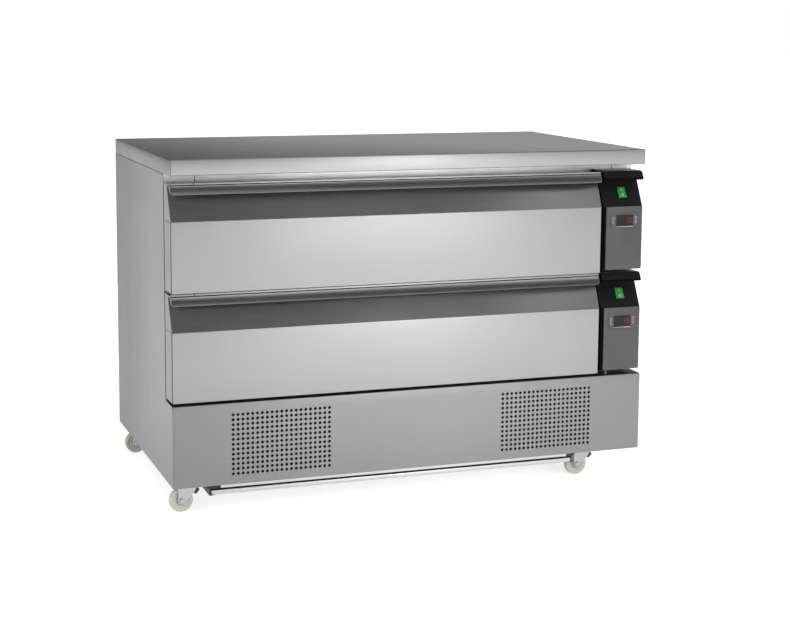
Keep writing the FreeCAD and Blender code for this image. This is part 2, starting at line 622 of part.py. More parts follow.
# Castors: plate with its kingpin, swivel fork, wheel and brake pedal
CASTORS = {
    "front_left": ("left + castor_left", "front + castor_front"),
    "front_right": ("right - castor_right", "front + castor_front"),
    "rear_left": ("left + castor_left", "back - castor_rear"),
    "rear_right": ("right - castor_right", "back - castor_rear"),
}
PIN_SIDES = 16
plates = []
for corner, (x, y) in CASTORS.items():
    plate = block(f"{x} - plate_side / 2", f"{y} - plate_side / 2", "castor_height - plate_sheet",
                  "plate_side", "plate_side", "plate_sheet")
    kingpin = bar("z", x, y, "crown_under", "king_radius", "castor_height - (crown_under)",
                  PIN_SIDES)
    plates.append(fuse(plate, kingpin))
    crown_top = "castor_height - plate_sheet - race_gap"
    axle_x = f"{x} - wheel_trail"
    pivot_x = f"{x} + pedal_out"
    pivot_z = "wheel_radius + pedal_low"
    cheeks = []
    for start in (f"{y} - cheek_inner - fork_sheet", f"{y} + cheek_inner"):
        cheeks.append(along_y([
            (f"{axle_x} - foot_half", "crown_under"),
            (f"{axle_x} - foot_half", "wheel_radius - foot_half + foot_corner"),
            (f"{axle_x} - foot_half + foot_corner", "wheel_radius - foot_half"),
            (f"{axle_x} + foot_half - foot_corner", "wheel_radius - foot_half"),
            (f"{axle_x} + foot_half", "wheel_radius - foot_half + foot_corner"),
            (f"{pivot_x} + 2 * pedal_pin", f"{pivot_z} - 2 * pedal_pin"),
            (f"{x} + brow_reach", "crown_under")], start, "fork_sheet"))
    crown = block(f"{x} - race_radius", f"{y} - cheek_inner - fork_sheet", "crown_under",
                  "race_radius + brow_reach", "2 * (cheek_inner + fork_sheet)", "fork_sheet")
    brow = block(f"{axle_x} - foot_half", f"{y} - cheek_inner - fork_sheet", "crown_under",
                 "wheel_trail + foot_half", "2 * (cheek_inner + fork_sheet)", "fork_sheet")
    race = bar("z", x, y, "crown_under + fork_sheet", "race_radius",
               f"{crown_top} - (crown_under) - fork_sheet", PIN_SIDES)
    king_hole = rod("z", x, y, "crown_under - overrun", "king_radius + axle_play", "castor_height")
    axle = bar("y", axle_x, f"{y} - cheek_inner - fork_sheet", "wheel_radius", "axle_radius",
               "2 * (cheek_inner + fork_sheet)", PIN_SIDES)
    nuts = [bar("y", axle_x, start, "wheel_radius", "nut_radius", "fork_sheet", 6)
            for start in (f"{y} - cheek_inner - 2 * fork_sheet", f"{y} + cheek_inner + fork_sheet")]
    pedal_pin = bar("y", pivot_x, f"{y} - cheek_inner - fork_sheet", pivot_z, "pedal_pin",
                    "2 * (cheek_inner + fork_sheet)", PIN_SIDES)
    fork = cut(fuse(*cheeks, crown, brow, race), king_hole)
    node(f"castor_fork_{corner}", fuse(fork, axle, *nuts, pedal_pin))
    tyre = rod("y", axle_x, f"{y} - wheel_width / 2", "wheel_radius", "wheel_radius", "wheel_width")
    hub = bar("y", axle_x, f"{y} - wheel_outer", "wheel_radius", "hub_radius", "2 * wheel_outer", 12)
    axle_hole = rod("y", axle_x, f"{y} - wheel_width", "wheel_radius", "axle_radius + axle_play",
                    "2 * wheel_width")
    node(f"castor_wheel_{corner}", cut(fuse(tyre, hub), axle_hole))
    eye = "(pedal_pin + axle_play + pedal_wall)"
    lever = along_y([
        (f"{pivot_x} - {eye}", f"{pivot_z} + {eye} / 2"), (f"{pivot_x} - {eye} / 2", f"{pivot_z} + {eye}"),
        (f"{pivot_x} + pedal_length", f"{pivot_z} + pedal_lift + {eye}"),
        (f"{pivot_x} + pedal_length", f"{pivot_z} + pedal_lift - {eye} / 2"),
        (f"{pivot_x} + {eye} / 2", f"{pivot_z} - {eye}"), (f"{pivot_x} - {eye} / 2", f"{pivot_z} - {eye}"),
        (f"{pivot_x} - {eye}", f"{pivot_z} - {eye} / 2")],
        f"{y} - pedal_width / 2", "pedal_width")
    pin_hole = rod("y", pivot_x, f"{y} - pedal_width", pivot_z, "pedal_pin + axle_play",
                   "2 * pedal_width")
    node(f"castor_pedal_{corner}", cut(lever, pin_hole))
node("castor_plates", group(*plates))

# Drip tray, slung under the base in two black guides
tray_block = span("tray_left", "tray_right", "front + tray_set", "front + tray_set + tray_depth",
                  "tray_bottom", "tray_bottom + tray_lip")
tray_inside = span("tray_left + tray_sheet", "tray_right - tray_sheet",
                   "front + tray_set + tray_hem", "front + tray_set + tray_depth - tray_sheet",
                   "tray_bottom + tray_sheet", "tray_bottom + 2 * tray_lip")
tray_groove = span("tray_left - overrun", "tray_right + overrun", "front + tray_set + tray_sheet",
                   "front + tray_set + tray_hem - tray_sheet", "tray_bottom - overrun",
                   "tray_bottom + tray_lip - tray_sheet")
node("drip_tray", cut(tray_block, tray_inside, tray_groove))
guides = []
for edge, sign in (("tray_left", "-"), ("tray_right", "+")):
    turn = {"-": "+", "+": "-"}[sign]
    web = f"{edge} {sign} guide_play"
    guides.append(along_y([
        (f"{web} {sign} guide_web", "guide_under"), (f"{web} {sign} guide_web", "base - guide_step"),
        (f"{web} {sign} guide_flange", "base - guide_edge"), (f"{web} {sign} guide_flange", "base"),
        (f"{edge} {turn} edge_inset", "base"), (f"{edge} {turn} edge_inset", "base - guide_step"),
        (web, "base - guide_step"), (web, "guide_under + guide_sheet"),
        (f"{edge} {turn} guide_foot", "guide_under + guide_sheet"),
        (f"{edge} {turn} guide_foot", "guide_under")],
        "front + tray_set + guide_setback", "tray_depth"))
node("tray_guides", group(*guides))


# Cooling units in the plinth: condenser behind each grille field, fan, motor and compressor.
# A blade's root and chord are shares of its hub's radius, its seat a share of the hub's depth.
ROOT = 0.8
CHORD = 1.1
BLADE_SEAT = 0.2
BLADE_TURN = 0.25
SHELL_SIDES = 24


def fan(radius, hub, blades):
    """A faceted hub on the Z axis with a pitched blade on every other face, bored for its shaft."""
    pieces = [bar("z", "0", "0", "0", hub, "fan_depth", 2 * blades)]
    reach = getattr(sheet, hub)
    for index in range(blades):
        blade = doc.addObject("Part::Box", "blade")
        bind(blade, "Length", f"{radius} - {hub} * {ROOT}")
        bind(blade, "Width", f"{hub} * {CHORD}")
        bind(blade, "Height", "blade_sheet")
        around = Rotation(Vector(0, 0, 1), 360 * (index + BLADE_TURN) / blades)
        start = Vector(reach * ROOT, -reach * CHORD / 2, sheet.fan_depth * BLADE_SEAT)
        pitch = Rotation(Vector(1, 0, 0), sheet.blade_pitch)
        blade.Placement = Placement(around.multVec(start), around.multiply(pitch))
        pieces.append(blade)
    bore = rod("z", "0", "0", "-overrun", "shaft_radius + shaft_play", "2 * fan_depth")
    return cut(fuse(*pieces), bore)


coils = []
motors = []
compressors = []
for level, sign in (("lower", "-"), ("upper", "")):
    middle = f"{sign}grille_offset"
    fins = span(f"{middle} - coil_width / 2", f"{middle} + coil_width / 2", "coil_front",
                "coil_back", "base + skin", "base + skin + coil_rise + coil_height")
    coils.append(fins)
    blades = fan("fan_radius", "fan_hub", 5)
    blades.Placement = Placement(Vector(), TURNS["y"])
    node(f"condenser_fan_{'left' if sign else 'right'}",
         place(blades, middle, "fan_front", "coil_middle"))
    motor = bar("y", middle, "motor_front", "coil_middle", "motor_radius", "motor_depth", 12)
    shaft = bar("y", middle, "fan_front", "coil_middle", "shaft_radius",
                "motor_front - (fan_front) + overrun", PIN_SIDES)
    bracket = span(f"{middle} - bracket_width / 2", f"{middle} + bracket_width / 2",
                   "motor_front + motor_depth", "motor_front + motor_depth + bracket_sheet",
                   "base + skin", "coil_middle + motor_radius")
    motors.append(fuse(motor, shaft, bracket))
    shell_base = "base + skin + foot_height"
    shell = bar("z", middle, "shell_place", shell_base, "shell_radius",
                "shell_height - shell_round", SHELL_SIDES)
    dome = bar("z", middle, "shell_place", shell_base, "shell_radius - shell_round / 2",
               "shell_height", SHELL_SIDES)
    feet = []
    for x_sign in "-+":
        for y_sign in "-+":
            feet.append(bar("z", f"{middle} {x_sign} foot_spread", f"shell_place {y_sign} foot_spread",
                            "base + skin", "foot_radius", "foot_height", 8))
    bars = [block(f"{middle} - foot_spread - foot_bar / 2", f"shell_place {way} foot_spread - foot_bar / 2",
                  "base + skin + foot_height", "2 * foot_spread + foot_bar", "foot_bar",
                  "bracket_sheet") for way in "-+"]
    compressors.append(fuse(shell, dome, *bars, *feet))

# Coolers in the cavities: a finned block on the far wall, with a fan and motor behind the duct mouth
coolers = []
for level in LEVELS:
    low = f"{level}_open_bottom"
    coolers.append(span("cooler_left", "cavity_right", "duct_place - cooler_length / 2",
                        "duct_place + cooler_length / 2", f"{low} + cooler_inset",
                        f"{level}_open_top - cooler_inset"))
    blades = fan("cooler_fan", "cooler_hub", 5)
    blades.Placement = Placement(Vector(), TURNS["x"])
    node(f"cooler_fan_{level}", place(blades, "duct_face + fan_gap", "duct_place",
                                      f"{low} + duct_rise"))
    motor = bar("x", "cooler_left - cooler_motor_depth", "duct_place", f"{low} + duct_rise",
                "cooler_motor", "cooler_motor_depth", 12)
    shaft = bar("x", "duct_face + fan_gap", "duct_place", f"{low} + duct_rise", "shaft_radius",
                "cooler_left - (duct_face) - fan_gap", PIN_SIDES)
    motors.append(fuse(motor, shaft))
node("coolers", group(*coolers))
node("condensers", group(*coils))
node("fan_motors", group(*motors))
node("compressors", group(*compressors))


# Pipes: each compressor feeds its condenser, and a riser climbs to its cooler
def pipe_run(level, sign):
    middle = f"({sign}grille_offset)"
    shell_top = "base + skin + foot_height + shell_height"
    riser = RISERS[level]
    level_z = "pipe_level" if level == "upper" else "(pipe_level - 4 * pipe_radius)"
    back_y = riser_back(level)
    pieces = [
        bar("z", middle, "shell_place", shell_top, "pipe_radius",
            f"{level_z} + pipe_radius - ({shell_top})", 8),
        bar("y", middle, "shell_place - pipe_radius", level_z, "pipe_radius",
            f"{back_y} - (shell_place) + 2 * pipe_radius", 8),
        bar("x", f"{middle} - pipe_radius", back_y, level_z, "pipe_radius",
            f"{riser} - {middle} + 2 * pipe_radius", 8),
        bar("z", riser, back_y, f"{level_z} - pipe_radius", "pipe_radius",
            f"{level}_open_bottom + cooler_inset + 3 * pipe_radius - ({level_z})", 8)]
    return fuse(*pieces)


node("refrigerant_pipes", group(pipe_run("lower", "-"), pipe_run("upper", "")))

doc.recompute()
FAULTS = [f"{thing.Label}: {thing.State}" for thing in doc.Objects
          if "Invalid" in thing.State or "Error" in thing.State]
if FAULTS:
    raise RuntimeError("objects failed: " + "; ".join(FAULTS))
BAD = [piece.Label for piece in NODES
       if piece.Shape.isNull() or not piece.Shape.isValid() or not piece.Shape.Solids]
if BAD:
    raise RuntimeError("no valid shape: " + ", ".join(BAD))

os.makedirs("parts", exist_ok=True)
for piece in NODES:
    piece.Shape.exportStep(f"parts/{piece.Label}.step")
    print(f"{piece.Label}: {len(piece.Shape.Solids)} solids, {piece.Shape.Volume / 1000:.1f} cm3")
print(len(NODES), "pieces written")
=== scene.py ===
# %% [markdown]
# # A refrigerated drawer counter
# Two wide insulated drawers slide out over a plinth that holds the cooling units. The real counter is
# folded from thin brushed stainless sheet, so nearly every shape here is a fold, an edge or a hole.
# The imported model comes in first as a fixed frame, and each new piece is placed by its boxes.

# %% Load the frame
import math

import bmesh
import bpy
from mathutils import Matrix, Quaternion, Vector


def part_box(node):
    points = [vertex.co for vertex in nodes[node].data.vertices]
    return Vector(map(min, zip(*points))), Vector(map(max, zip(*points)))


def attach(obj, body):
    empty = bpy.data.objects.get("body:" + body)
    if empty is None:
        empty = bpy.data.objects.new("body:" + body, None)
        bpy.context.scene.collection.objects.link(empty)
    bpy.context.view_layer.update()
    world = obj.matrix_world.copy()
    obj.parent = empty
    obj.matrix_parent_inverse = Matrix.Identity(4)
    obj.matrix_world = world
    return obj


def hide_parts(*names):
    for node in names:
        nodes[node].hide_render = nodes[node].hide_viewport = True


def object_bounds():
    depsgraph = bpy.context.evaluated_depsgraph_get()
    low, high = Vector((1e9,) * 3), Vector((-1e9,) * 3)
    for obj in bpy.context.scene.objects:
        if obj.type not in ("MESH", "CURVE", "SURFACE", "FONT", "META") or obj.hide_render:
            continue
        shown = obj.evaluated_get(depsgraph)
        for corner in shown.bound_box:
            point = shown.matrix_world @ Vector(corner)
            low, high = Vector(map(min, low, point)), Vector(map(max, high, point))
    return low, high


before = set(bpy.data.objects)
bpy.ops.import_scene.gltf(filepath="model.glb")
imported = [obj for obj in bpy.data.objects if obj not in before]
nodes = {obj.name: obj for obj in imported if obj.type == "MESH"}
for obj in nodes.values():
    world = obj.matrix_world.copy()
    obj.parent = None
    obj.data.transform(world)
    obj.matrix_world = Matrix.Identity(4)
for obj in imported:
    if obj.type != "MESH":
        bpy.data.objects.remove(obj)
cad_low, cad_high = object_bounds()
scene = bpy.context.scene
MM = 0.001
print("nodes", len(nodes), "box", cad_low, cad_high)

# %% [markdown]
# ## Small helpers
# Most pieces start as a box or as an outline that is drawn out along one axis. Bevels then give each
# fold its radius. A piece is shaded smooth, with a sharp line where two faces meet at a steep angle.

# %% Boxes, outlines and bevels
def corner_box(shape, low, high):
    """A box between two corners."""
    low = Vector(low)
    high = Vector(high)
    verts = bmesh.ops.create_cube(shape, size=1)["verts"]
    bmesh.ops.scale(shape, verts=verts, vec=high - low)
    bmesh.ops.translate(shape, verts=verts, vec=(low + high) / 2)
    return verts


def drawn_out(shape, ring, reach):
    """A closed outline of points, drawn out by a vector."""
    face = shape.faces.new([shape.verts.new(point) for point in ring])
    grown = bmesh.ops.extrude_face_region(shape, geom=[face])["geom"]
    ends = [part for part in grown if isinstance(part, bmesh.types.BMVert)]
    bmesh.ops.translate(shape, verts=ends, vec=reach)
    bmesh.ops.recalc_face_normals(shape, faces=shape.faces)
    return face


def soften(shape, edges, width, steps=2):
    """Round some edges."""
    bmesh.ops.bevel(shape, geom=list(edges), offset=width, offset_type="OFFSET", segments=steps,
                    profile=0.5, affect="EDGES", clamp_overlap=True, material=-1)


def way(edge):
    """The unit vector along an edge."""
    return (edge.verts[1].co - edge.verts[0].co).normalized()


def middle(edge):
    return (edge.verts[0].co + edge.verts[1].co) / 2


def along_at(edge, y, z):
    """Whether an edge runs along X through a point of the section."""
    spot = middle(edge)
    return abs(way(edge).x) > 0.99 and math.hypot(spot.y - y, spot.z - z) < 0.1 * MM


def crisp(edge):
    """Whether the two faces of an edge meet at a clear angle."""
    return len(edge.link_faces) == 2 and edge.calc_face_angle(0) > math.radians(12)


def join_in(shape, part, place=(0, 0, 0)):
    """Add a finished part to a shape at a place."""
    bmesh.ops.translate(part, verts=part.verts, vec=place)
    mesh = bpy.data.meshes.new("part")
    part.to_mesh(mesh)
    part.free()
    shape.from_mesh(mesh)
    bpy.data.meshes.remove(mesh)


# %% Turn a shape into a piece of the object
def piece(name, shape, material, body, stands_for=(), sharp=32):
    """Name a finished shape, give it its finish, and let it ride on its body."""
    mesh = bpy.data.meshes.new(name)
    shape.to_mesh(mesh)
    shape.free()
    mesh.materials.append(material)
    mesh.shade_smooth()
    mesh.set_sharp_from_angle(angle=math.radians(sharp))
    made = bpy.data.objects.new(name, mesh)
    scene.collection.objects.link(made)
    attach(made, body)
    if stands_for:
        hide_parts(*stands_for)
    print(name, len(mesh.polygons), "faces")
    return made


def second_finish(made, material, chosen):
    """Give the faces that are chosen by their normal and middle another finish."""
    made.data.materials.append(material)
    count = 0
    for face in made.data.polygons:
        if chosen(face.normal, face.center):
            face.material_index = len(made.data.materials) - 1
            count += 1
    print(made.name, count, "faces in", material.name)


# %% [markdown]
# ## Finishes
# Brushed steel shows fine lines along one axis. A noise texture that is stretched along that axis
# gives both a faint relief and a change of gloss, and a second, very large noise clouds the tone a
# little, as handling and rolling do. Patterns use Object coordinates, so nothing slides in a pose.

# %% A material with its pattern nodes
def new_material(name, colour, roughness, metal=0.0):
    """A principled material and the parts that a pattern hooks into."""
    material = bpy.data.materials.new(name)
    material.use_nodes = True
    tree = material.node_tree
    shader = tree.nodes["Principled BSDF"]
    shader.inputs["Base Color"].default_value = (*colour, 1)
    shader.inputs["Roughness"].default_value = roughness
    shader.inputs["Metallic"].default_value = metal
    return material, tree, shader


def pattern(tree, scale, stretch=(1, 1, 1), detail=3.0):
    """A noise on Object coordinates, stretched along an axis."""
    place = tree.nodes.new("ShaderNodeTexCoord")
    mapping = tree.nodes.new("ShaderNodeMapping")
    mapping.inputs["Scale"].default_value = stretch
    noise = tree.nodes.new("ShaderNodeTexNoise")
    noise.inputs["Scale"].default_value = scale
    noise.inputs["Detail"].default_value = detail
    tree.links.new(place.outputs["Object"], mapping.inputs["Vector"])
    tree.links.new(mapping.outputs["Vector"], noise.inputs["Vector"])
    return noise.outputs["Fac"]


def spread(tree, value, low, high):
    """Send a noise of about 0.3 to 0.7 to a range."""
    ramp = tree.nodes.new("ShaderNodeMapRange")
    ramp.inputs["From Min"].default_value = 0.3
    ramp.inputs["From Max"].default_value = 0.7
    ramp.inputs["To Min"].default_value = low
    ramp.inputs["To Max"].default_value = high
    tree.links.new(value, ramp.inputs["Value"])
    return ramp.outputs["Result"]


def tint(tree, value, first, second):
    """Mix two colours by a value."""
    mix = tree.nodes.new("ShaderNodeMix")
    mix.data_type = "RGBA"
    mix.inputs["A"].default_value = (*first, 1)
    mix.inputs["B"].default_value = (*second, 1)
    tree.links.new(value, mix.inputs["Factor"])
    return mix.outputs["Result"]


def relief(tree, shader, value, strength, depth):
    """A small bump."""
    bump = tree.nodes.new("ShaderNodeBump")
    bump.inputs["Strength"].default_value = strength
    bump.inputs["Distance"].default_value = depth
    tree.links.new(value, bump.inputs["Height"])
    tree.links.new(bump.outputs["Normal"], shader.inputs["Normal"])


# %% Brushed steel and plain plastics
GRAIN = {"x": (1, 60, 60), "y": (60, 1, 60), "z": (60, 60, 1)}


def brushed(name, tone, axis, roughness=0.33, contrast=0.06, clouds=0.03):
    """Steel sheet with a grain along one axis."""
    material, tree, shader = new_material(name, (tone,) * 3, roughness, 1.0)
    lines = pattern(tree, 14, GRAIN[axis], 4)
    cloud = pattern(tree, 2.2, (1, 1, 1), 2)
    both = tree.nodes.new("ShaderNodeMath")
    both.operation = "ADD"
    tree.links.new(spread(tree, lines, -contrast, contrast), both.inputs[0])
    tree.links.new(spread(tree, cloud, 0.5 - clouds * 5, 0.5 + clouds * 5), both.inputs[1])
    dark = (tone * 0.86, tone * 0.86, tone * 0.855)
    light = (min(tone * 1.14, 1), min(tone * 1.14, 1), min(tone * 1.135, 1))
    tree.links.new(tint(tree, both.outputs[0], dark, light), shader.inputs["Base Color"])
    tree.links.new(spread(tree, lines, roughness - 0.05, roughness + 0.06), shader.inputs["Roughness"])
    relief(tree, shader, lines, 0.12, 0.0001)
    return material


def painted_shade_along_y(material, back, front, dark):
    """Paint shade into the tone of a sheet, darker towards its back, as the light falls off along a long
    side in a studio.
    """
    tree = material.node_tree
    shader = tree.nodes["Principled BSDF"]
    tone = shader.inputs["Base Color"].links[0].from_socket
    place = tree.nodes.new("ShaderNodeTexCoord")
    parts = tree.nodes.new("ShaderNodeSeparateXYZ")
    fall = tree.nodes.new("ShaderNodeMapRange")
    fall.interpolation_type = "SMOOTHSTEP"
    fall.inputs["From Min"].default_value = front
    fall.inputs["From Max"].default_value = back
    fall.inputs["To Min"].default_value = 1.0
    fall.inputs["To Max"].default_value = dark
    mix = tree.nodes.new("ShaderNodeMix")
    mix.data_type = "RGBA"
    mix.blend_type = "MULTIPLY"
    mix.inputs["Factor"].default_value = 1.0
    tree.links.new(place.outputs["Object"], parts.inputs["Vector"])
    tree.links.new(parts.outputs["Y"], fall.inputs["Value"])
    tree.links.new(tone, mix.inputs["A"])
    tree.links.new(fall.outputs["Result"], mix.inputs["B"])
    tree.links.new(mix.outputs["Result"], shader.inputs["Base Color"])


def moulded(name, colour, roughness, grain=900, depth=0.12, metal=0.0, shine=0.5):
    """Plastic, paint or rubber with a fine even grain."""
    material, tree, shader = new_material(name, colour, roughness, metal)
    fine = pattern(tree, grain, (1, 1, 1), 2)
    broad = pattern(tree, 9, (1, 1, 1), 2)
    dark = tuple(part * 0.88 for part in colour)
    light = tuple(min(part * 1.12, 1) for part in colour)
    tree.links.new(tint(tree, spread(tree, broad, 0, 1), dark, light), shader.inputs["Base Color"])
    tree.links.new(spread(tree, fine, roughness - 0.06, roughness + 0.06), shader.inputs["Roughness"])
    relief(tree, shader, fine, depth, 0.0001)
    shader.inputs["Specular IOR Level"].default_value = shine
    return material


worktop_steel = brushed("worktop_steel", 0.36, "x", 0.36)
front_steel = brushed("front_steel", 0.30, "x", 0.34, 0.08)
# A darker copy of the front steel for the handle lip: painted shade.
lip_steel_painted_shade = brushed("lip_steel_painted_shade", 0.2, "x", 0.3)
# Near-black steel for fold faces: painted shade along folds and under edges.
fold_painted_shade = brushed("fold_painted_shade", 0.09, "z", 0.4)
plinth_steel = brushed("plinth_steel", 0.225, "x", 0.4, 0.08)
# The side steel's tone carries painted shade that darkens it towards its back.
side_steel_painted_shade = brushed("side_steel_painted_shade", 0.22, "z", 0.36, 0.045, 0.05)
painted_shade_along_y(side_steel_painted_shade, 0.3, -0.25, 0.44)
# Pale steel for the base pan and the drip pan, also laid on the drawers' right-facing folds as a painted
# highlight.
frame_steel_and_painted_highlight = brushed("frame_steel_and_painted_highlight", 0.5, "x", 0.3)
inner_steel = brushed("inner_steel", 0.52, "y", 0.28, 0.04)
rail_steel = moulded("rail_steel", (0.64, 0.64, 0.64), 0.33, 400, 0.05, 0.93)
slide_steel = moulded("slide_steel", (0.58, 0.58, 0.57), 0.3, 400, 0.05, 1.0)
zinc_plate = moulded("zinc_plate", (0.42, 0.42, 0.43), 0.3, 120, 0.02, 1.0)
# A darker copy of the zinc for the fork's sheet edges: painted shade.
zinc_edge_painted_shade = moulded("zinc_edge_painted_shade", (0.16, 0.16, 0.17), 0.4, 120, 0.02, 1.0)
foam_fill = moulded("foam_fill", (0.78, 0.7, 0.5), 0.9, 700, 0.5)
seal_rubber = moulded("seal_rubber", (0.075, 0.075, 0.08), 0.6)
housing_plastic = moulded("housing_plastic", (0.008, 0.008, 0.008), 0.5, 1400, 0.2, 0.0, 0.14)
# A lighter, glossy copy of the housing black for the housings' tops: a painted highlight.
hood_top_painted_highlight = moulded("hood_top_painted_highlight", (0.14, 0.14, 0.14), 0.25, 1400, 0.1, 0.0, 1.0)
# A matte near black for joint lines, also used as painted shade in the drawers' creases and on the housings'
# margins and left ends.
joint_black_and_painted_shade = moulded("joint_black_and_painted_shade", (0.004, 0.004, 0.004), 0.7, 1400, 0.2, 0.0, 0.02)
fascia_paint = moulded("fascia_paint", (0.09, 0.09, 0.09), 0.5, 1600, 0.15, 0.0, 0.4)
bezel_plastic = moulded("bezel_plastic", (0.085, 0.085, 0.086), 0.45, 1200, 0.08, 0.0, 0.4)
key_plastic = moulded("key_plastic", (0.1, 0.1, 0.1), 0.5)
mark_paint = moulded("mark_paint", (0.5, 0.5, 0.5), 0.6)
nylon = moulded("nylon", (0.6, 0.61, 0.5), 0.4, 200, 0.1)
# A darker copy of the nylon for the wheel's hub recess: painted shade.
nylon_painted_shade = moulded("nylon_painted_shade", (0.36, 0.37, 0.31), 0.5, 200, 0.1)
pedal_plastic = moulded("pedal_plastic", (0.03, 0.03, 0.03), 0.5)
guide_plastic = moulded("guide_plastic", (0.015, 0.015, 0.015), 0.5)
# Dark fins for the condensers: painted shade behind the grille, where the cooler fins are pale.
condenser_fins_painted_shade = moulded("condenser_fins_painted_shade", (0.1, 0.1, 0.1), 0.5, 300, 0.1, 0.6)
cooler_fins = moulded("cooler_fins", (0.5, 0.5, 0.5), 0.4, 300, 0.1, 1.0)
fan_plastic = moulded("fan_plastic", (0.05, 0.05, 0.05), 0.5)
motor_paint = moulded("motor_paint", (0.12, 0.12, 0.13), 0.5, 500)
shell_enamel = moulded("shell_enamel", (0.015, 0.015, 0.015), 0.3, 300, 0.08)
copper_tube = moulded("copper_tube", (0.72, 0.38, 0.22), 0.3, 200, 0.06, 1.0)

# %% [markdown]
# The display is smoked glass over a dark ground, and the rocker is clear green plastic that is lit
# from behind. Light that comes out of a piece is an emission, kept low so that the shape still shows.

# %% Window, digits and rocker
window_glass = moulded("window_glass", (0.022, 0.018, 0.016), 0.18, 300, 0.02, 0.0, 0.2)
digit_red, digit_tree, digit_shader = new_material("digit_red", (0.2, 0.01, 0.01), 0.4)
digit_shader.inputs["Emission Color"].default_value = (0.35, 0.02, 0.015, 1)
digit_shader.inputs["Emission Strength"].default_value = 0.35
digit_glow = pattern(digit_tree, 500)
digit_tint = tint(digit_tree, digit_glow, (0.16, 0.01, 0.01), (0.24, 0.02, 0.015))
digit_tree.links.new(digit_tint, digit_shader.inputs["Base Color"])

rocker_green, rocker_tree, rocker_shader = new_material("rocker_green", (0.02, 0.2, 0.04), 0.3)
rocker_shader.inputs["Emission Color"].default_value = (0.04, 0.4, 0.07, 1)
rocker_shader.inputs["Emission Strength"].default_value = 0.16
rocker_cloud = spread(rocker_tree, pattern(rocker_tree, 160), 0, 1)
rocker_tint = tint(rocker_tree, rocker_cloud, (0.02, 0.14, 0.03), (0.05, 0.26, 0.06))
rocker_tree.links.new(rocker_tint, rocker_shader.inputs["Base Color"])
rocker_light = moulded("rocker_light", (0.16, 0.55, 0.2), 0.4)
light_shader = rocker_light.node_tree.nodes["Principled BSDF"]
light_shader.inputs["Emission Color"].default_value = (0.1, 0.5, 0.14, 1)
light_shader.inputs["Emission Strength"].default_value = 0.3
print("materials", len(bpy.data.materials))

# %% [markdown]
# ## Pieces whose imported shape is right
# Slides, pan frames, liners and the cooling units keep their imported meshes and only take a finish.

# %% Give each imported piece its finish
FINISHES = {
    inner_steel: ["cavity_liners", "air_ducts", "drawer_inner_panel_upper", "drawer_inner_panel_lower",
                  "pan_frame_upper", "pan_frame_lower"],
    # The back panel takes the side steel with its painted shade.
    side_steel_painted_shade: ["back_panel"],
    frame_steel_and_painted_highlight: ["base_pan"],
    rail_steel: ["front_frame", "control_column"],
    slide_steel: ["slide_outer_members", "slide_middle_upper", "slide_middle_lower"],
    foam_fill: ["insulation", "drawer_core_upper", "drawer_core_lower"],
    zinc_plate: ["castor_plates"],
    guide_plastic: ["tray_guides"],
    fan_plastic: ["condenser_fan_left", "condenser_fan_right", "cooler_fan_upper", "cooler_fan_lower"],
    motor_paint: ["fan_motors"],
    copper_tube: ["refrigerant_pipes"],
}
for material, names in FINISHES.items():
    for name in names:
        nodes[name].data.materials.clear()
        nodes[name].data.materials.append(material)
print("finished", sum(len(names) for names in FINISHES.values()), "packed pieces")

# %% [markdown]
# ## Worktop
# The worktop is one sheet folded down on all four sides over a core, with a return under the edge.
# A box with rounded edges and a recess in its underside has the same outline from every side.

# %% Worktop
FOLD = 2.5 * MM
worktop_low, worktop_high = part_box("worktop")
shape = bmesh.new()
corner_box(shape, worktop_low, worktop_high)
upright = [edge for edge in shape.edges if abs(way(edge).z) > 0.9]
soften(shape, upright, FOLD, 3)
upper = [edge for edge in shape.edges if crisp(edge) and middle(edge).z > worktop_high.z - MM]
soften(shape, upper, FOLD, 3)
lower = [edge for edge in shape.edges if crisp(edge) and middle(edge).z < worktop_low.z + MM]
soften(shape, lower, 1.6 * MM, 2)
worktop_piece = piece("worktop_sheet", shape, worktop_steel, "cabinet", ["worktop"])
# The worktop's left and right edge faces take the darker side steel, painted shade that falls off towards
# the back.
second_finish(worktop_piece, side_steel_painted_shade, lambda normal, spot: abs(normal.x) > 0.8)
# The worktop's front corner folds and the underside of its front edge are painted dark as shade.
second_finish(worktop_piece, fold_painted_shade, lambda normal, spot: normal.y < -0.3
              and (-0.95 < normal.z < -0.2 or 0.2 < abs(normal.x) < 0.5 and abs(normal.z) < 0.3))

# %% [markdown]
# ## Drawer fronts
# Each front is one folded sheet: a flat face, a slope that leans back to make room for the fingers,
# and a lip that hangs in front of the slope as the handle. Its section is drawn in Y and Z and drawn
# out across the drawer. The lip gets a hem round its edge, which catches the light as a thin line against
# the lip's darker steel, painted as shade, and a narrow rim stands over a crease painted near black as
# shade.

# %% One drawer front
FACE = 168.4 * MM
SLANT = 38 * MM
LIP = 23 * MM
LEAN = 10 * MM
PLATE = 3 * MM
LIP_ROUND = 8 * MM
HEM = 1.6 * MM
HEM_STEP = 0.7 * MM
RIM_RISE = 3.8 * MM
CREASE = (2.8 * MM, 0.4 * MM)
END_FOLD = 1.7 * MM
END_GAP = 0.1 * MM
RIM_JOINT = 57 * MM


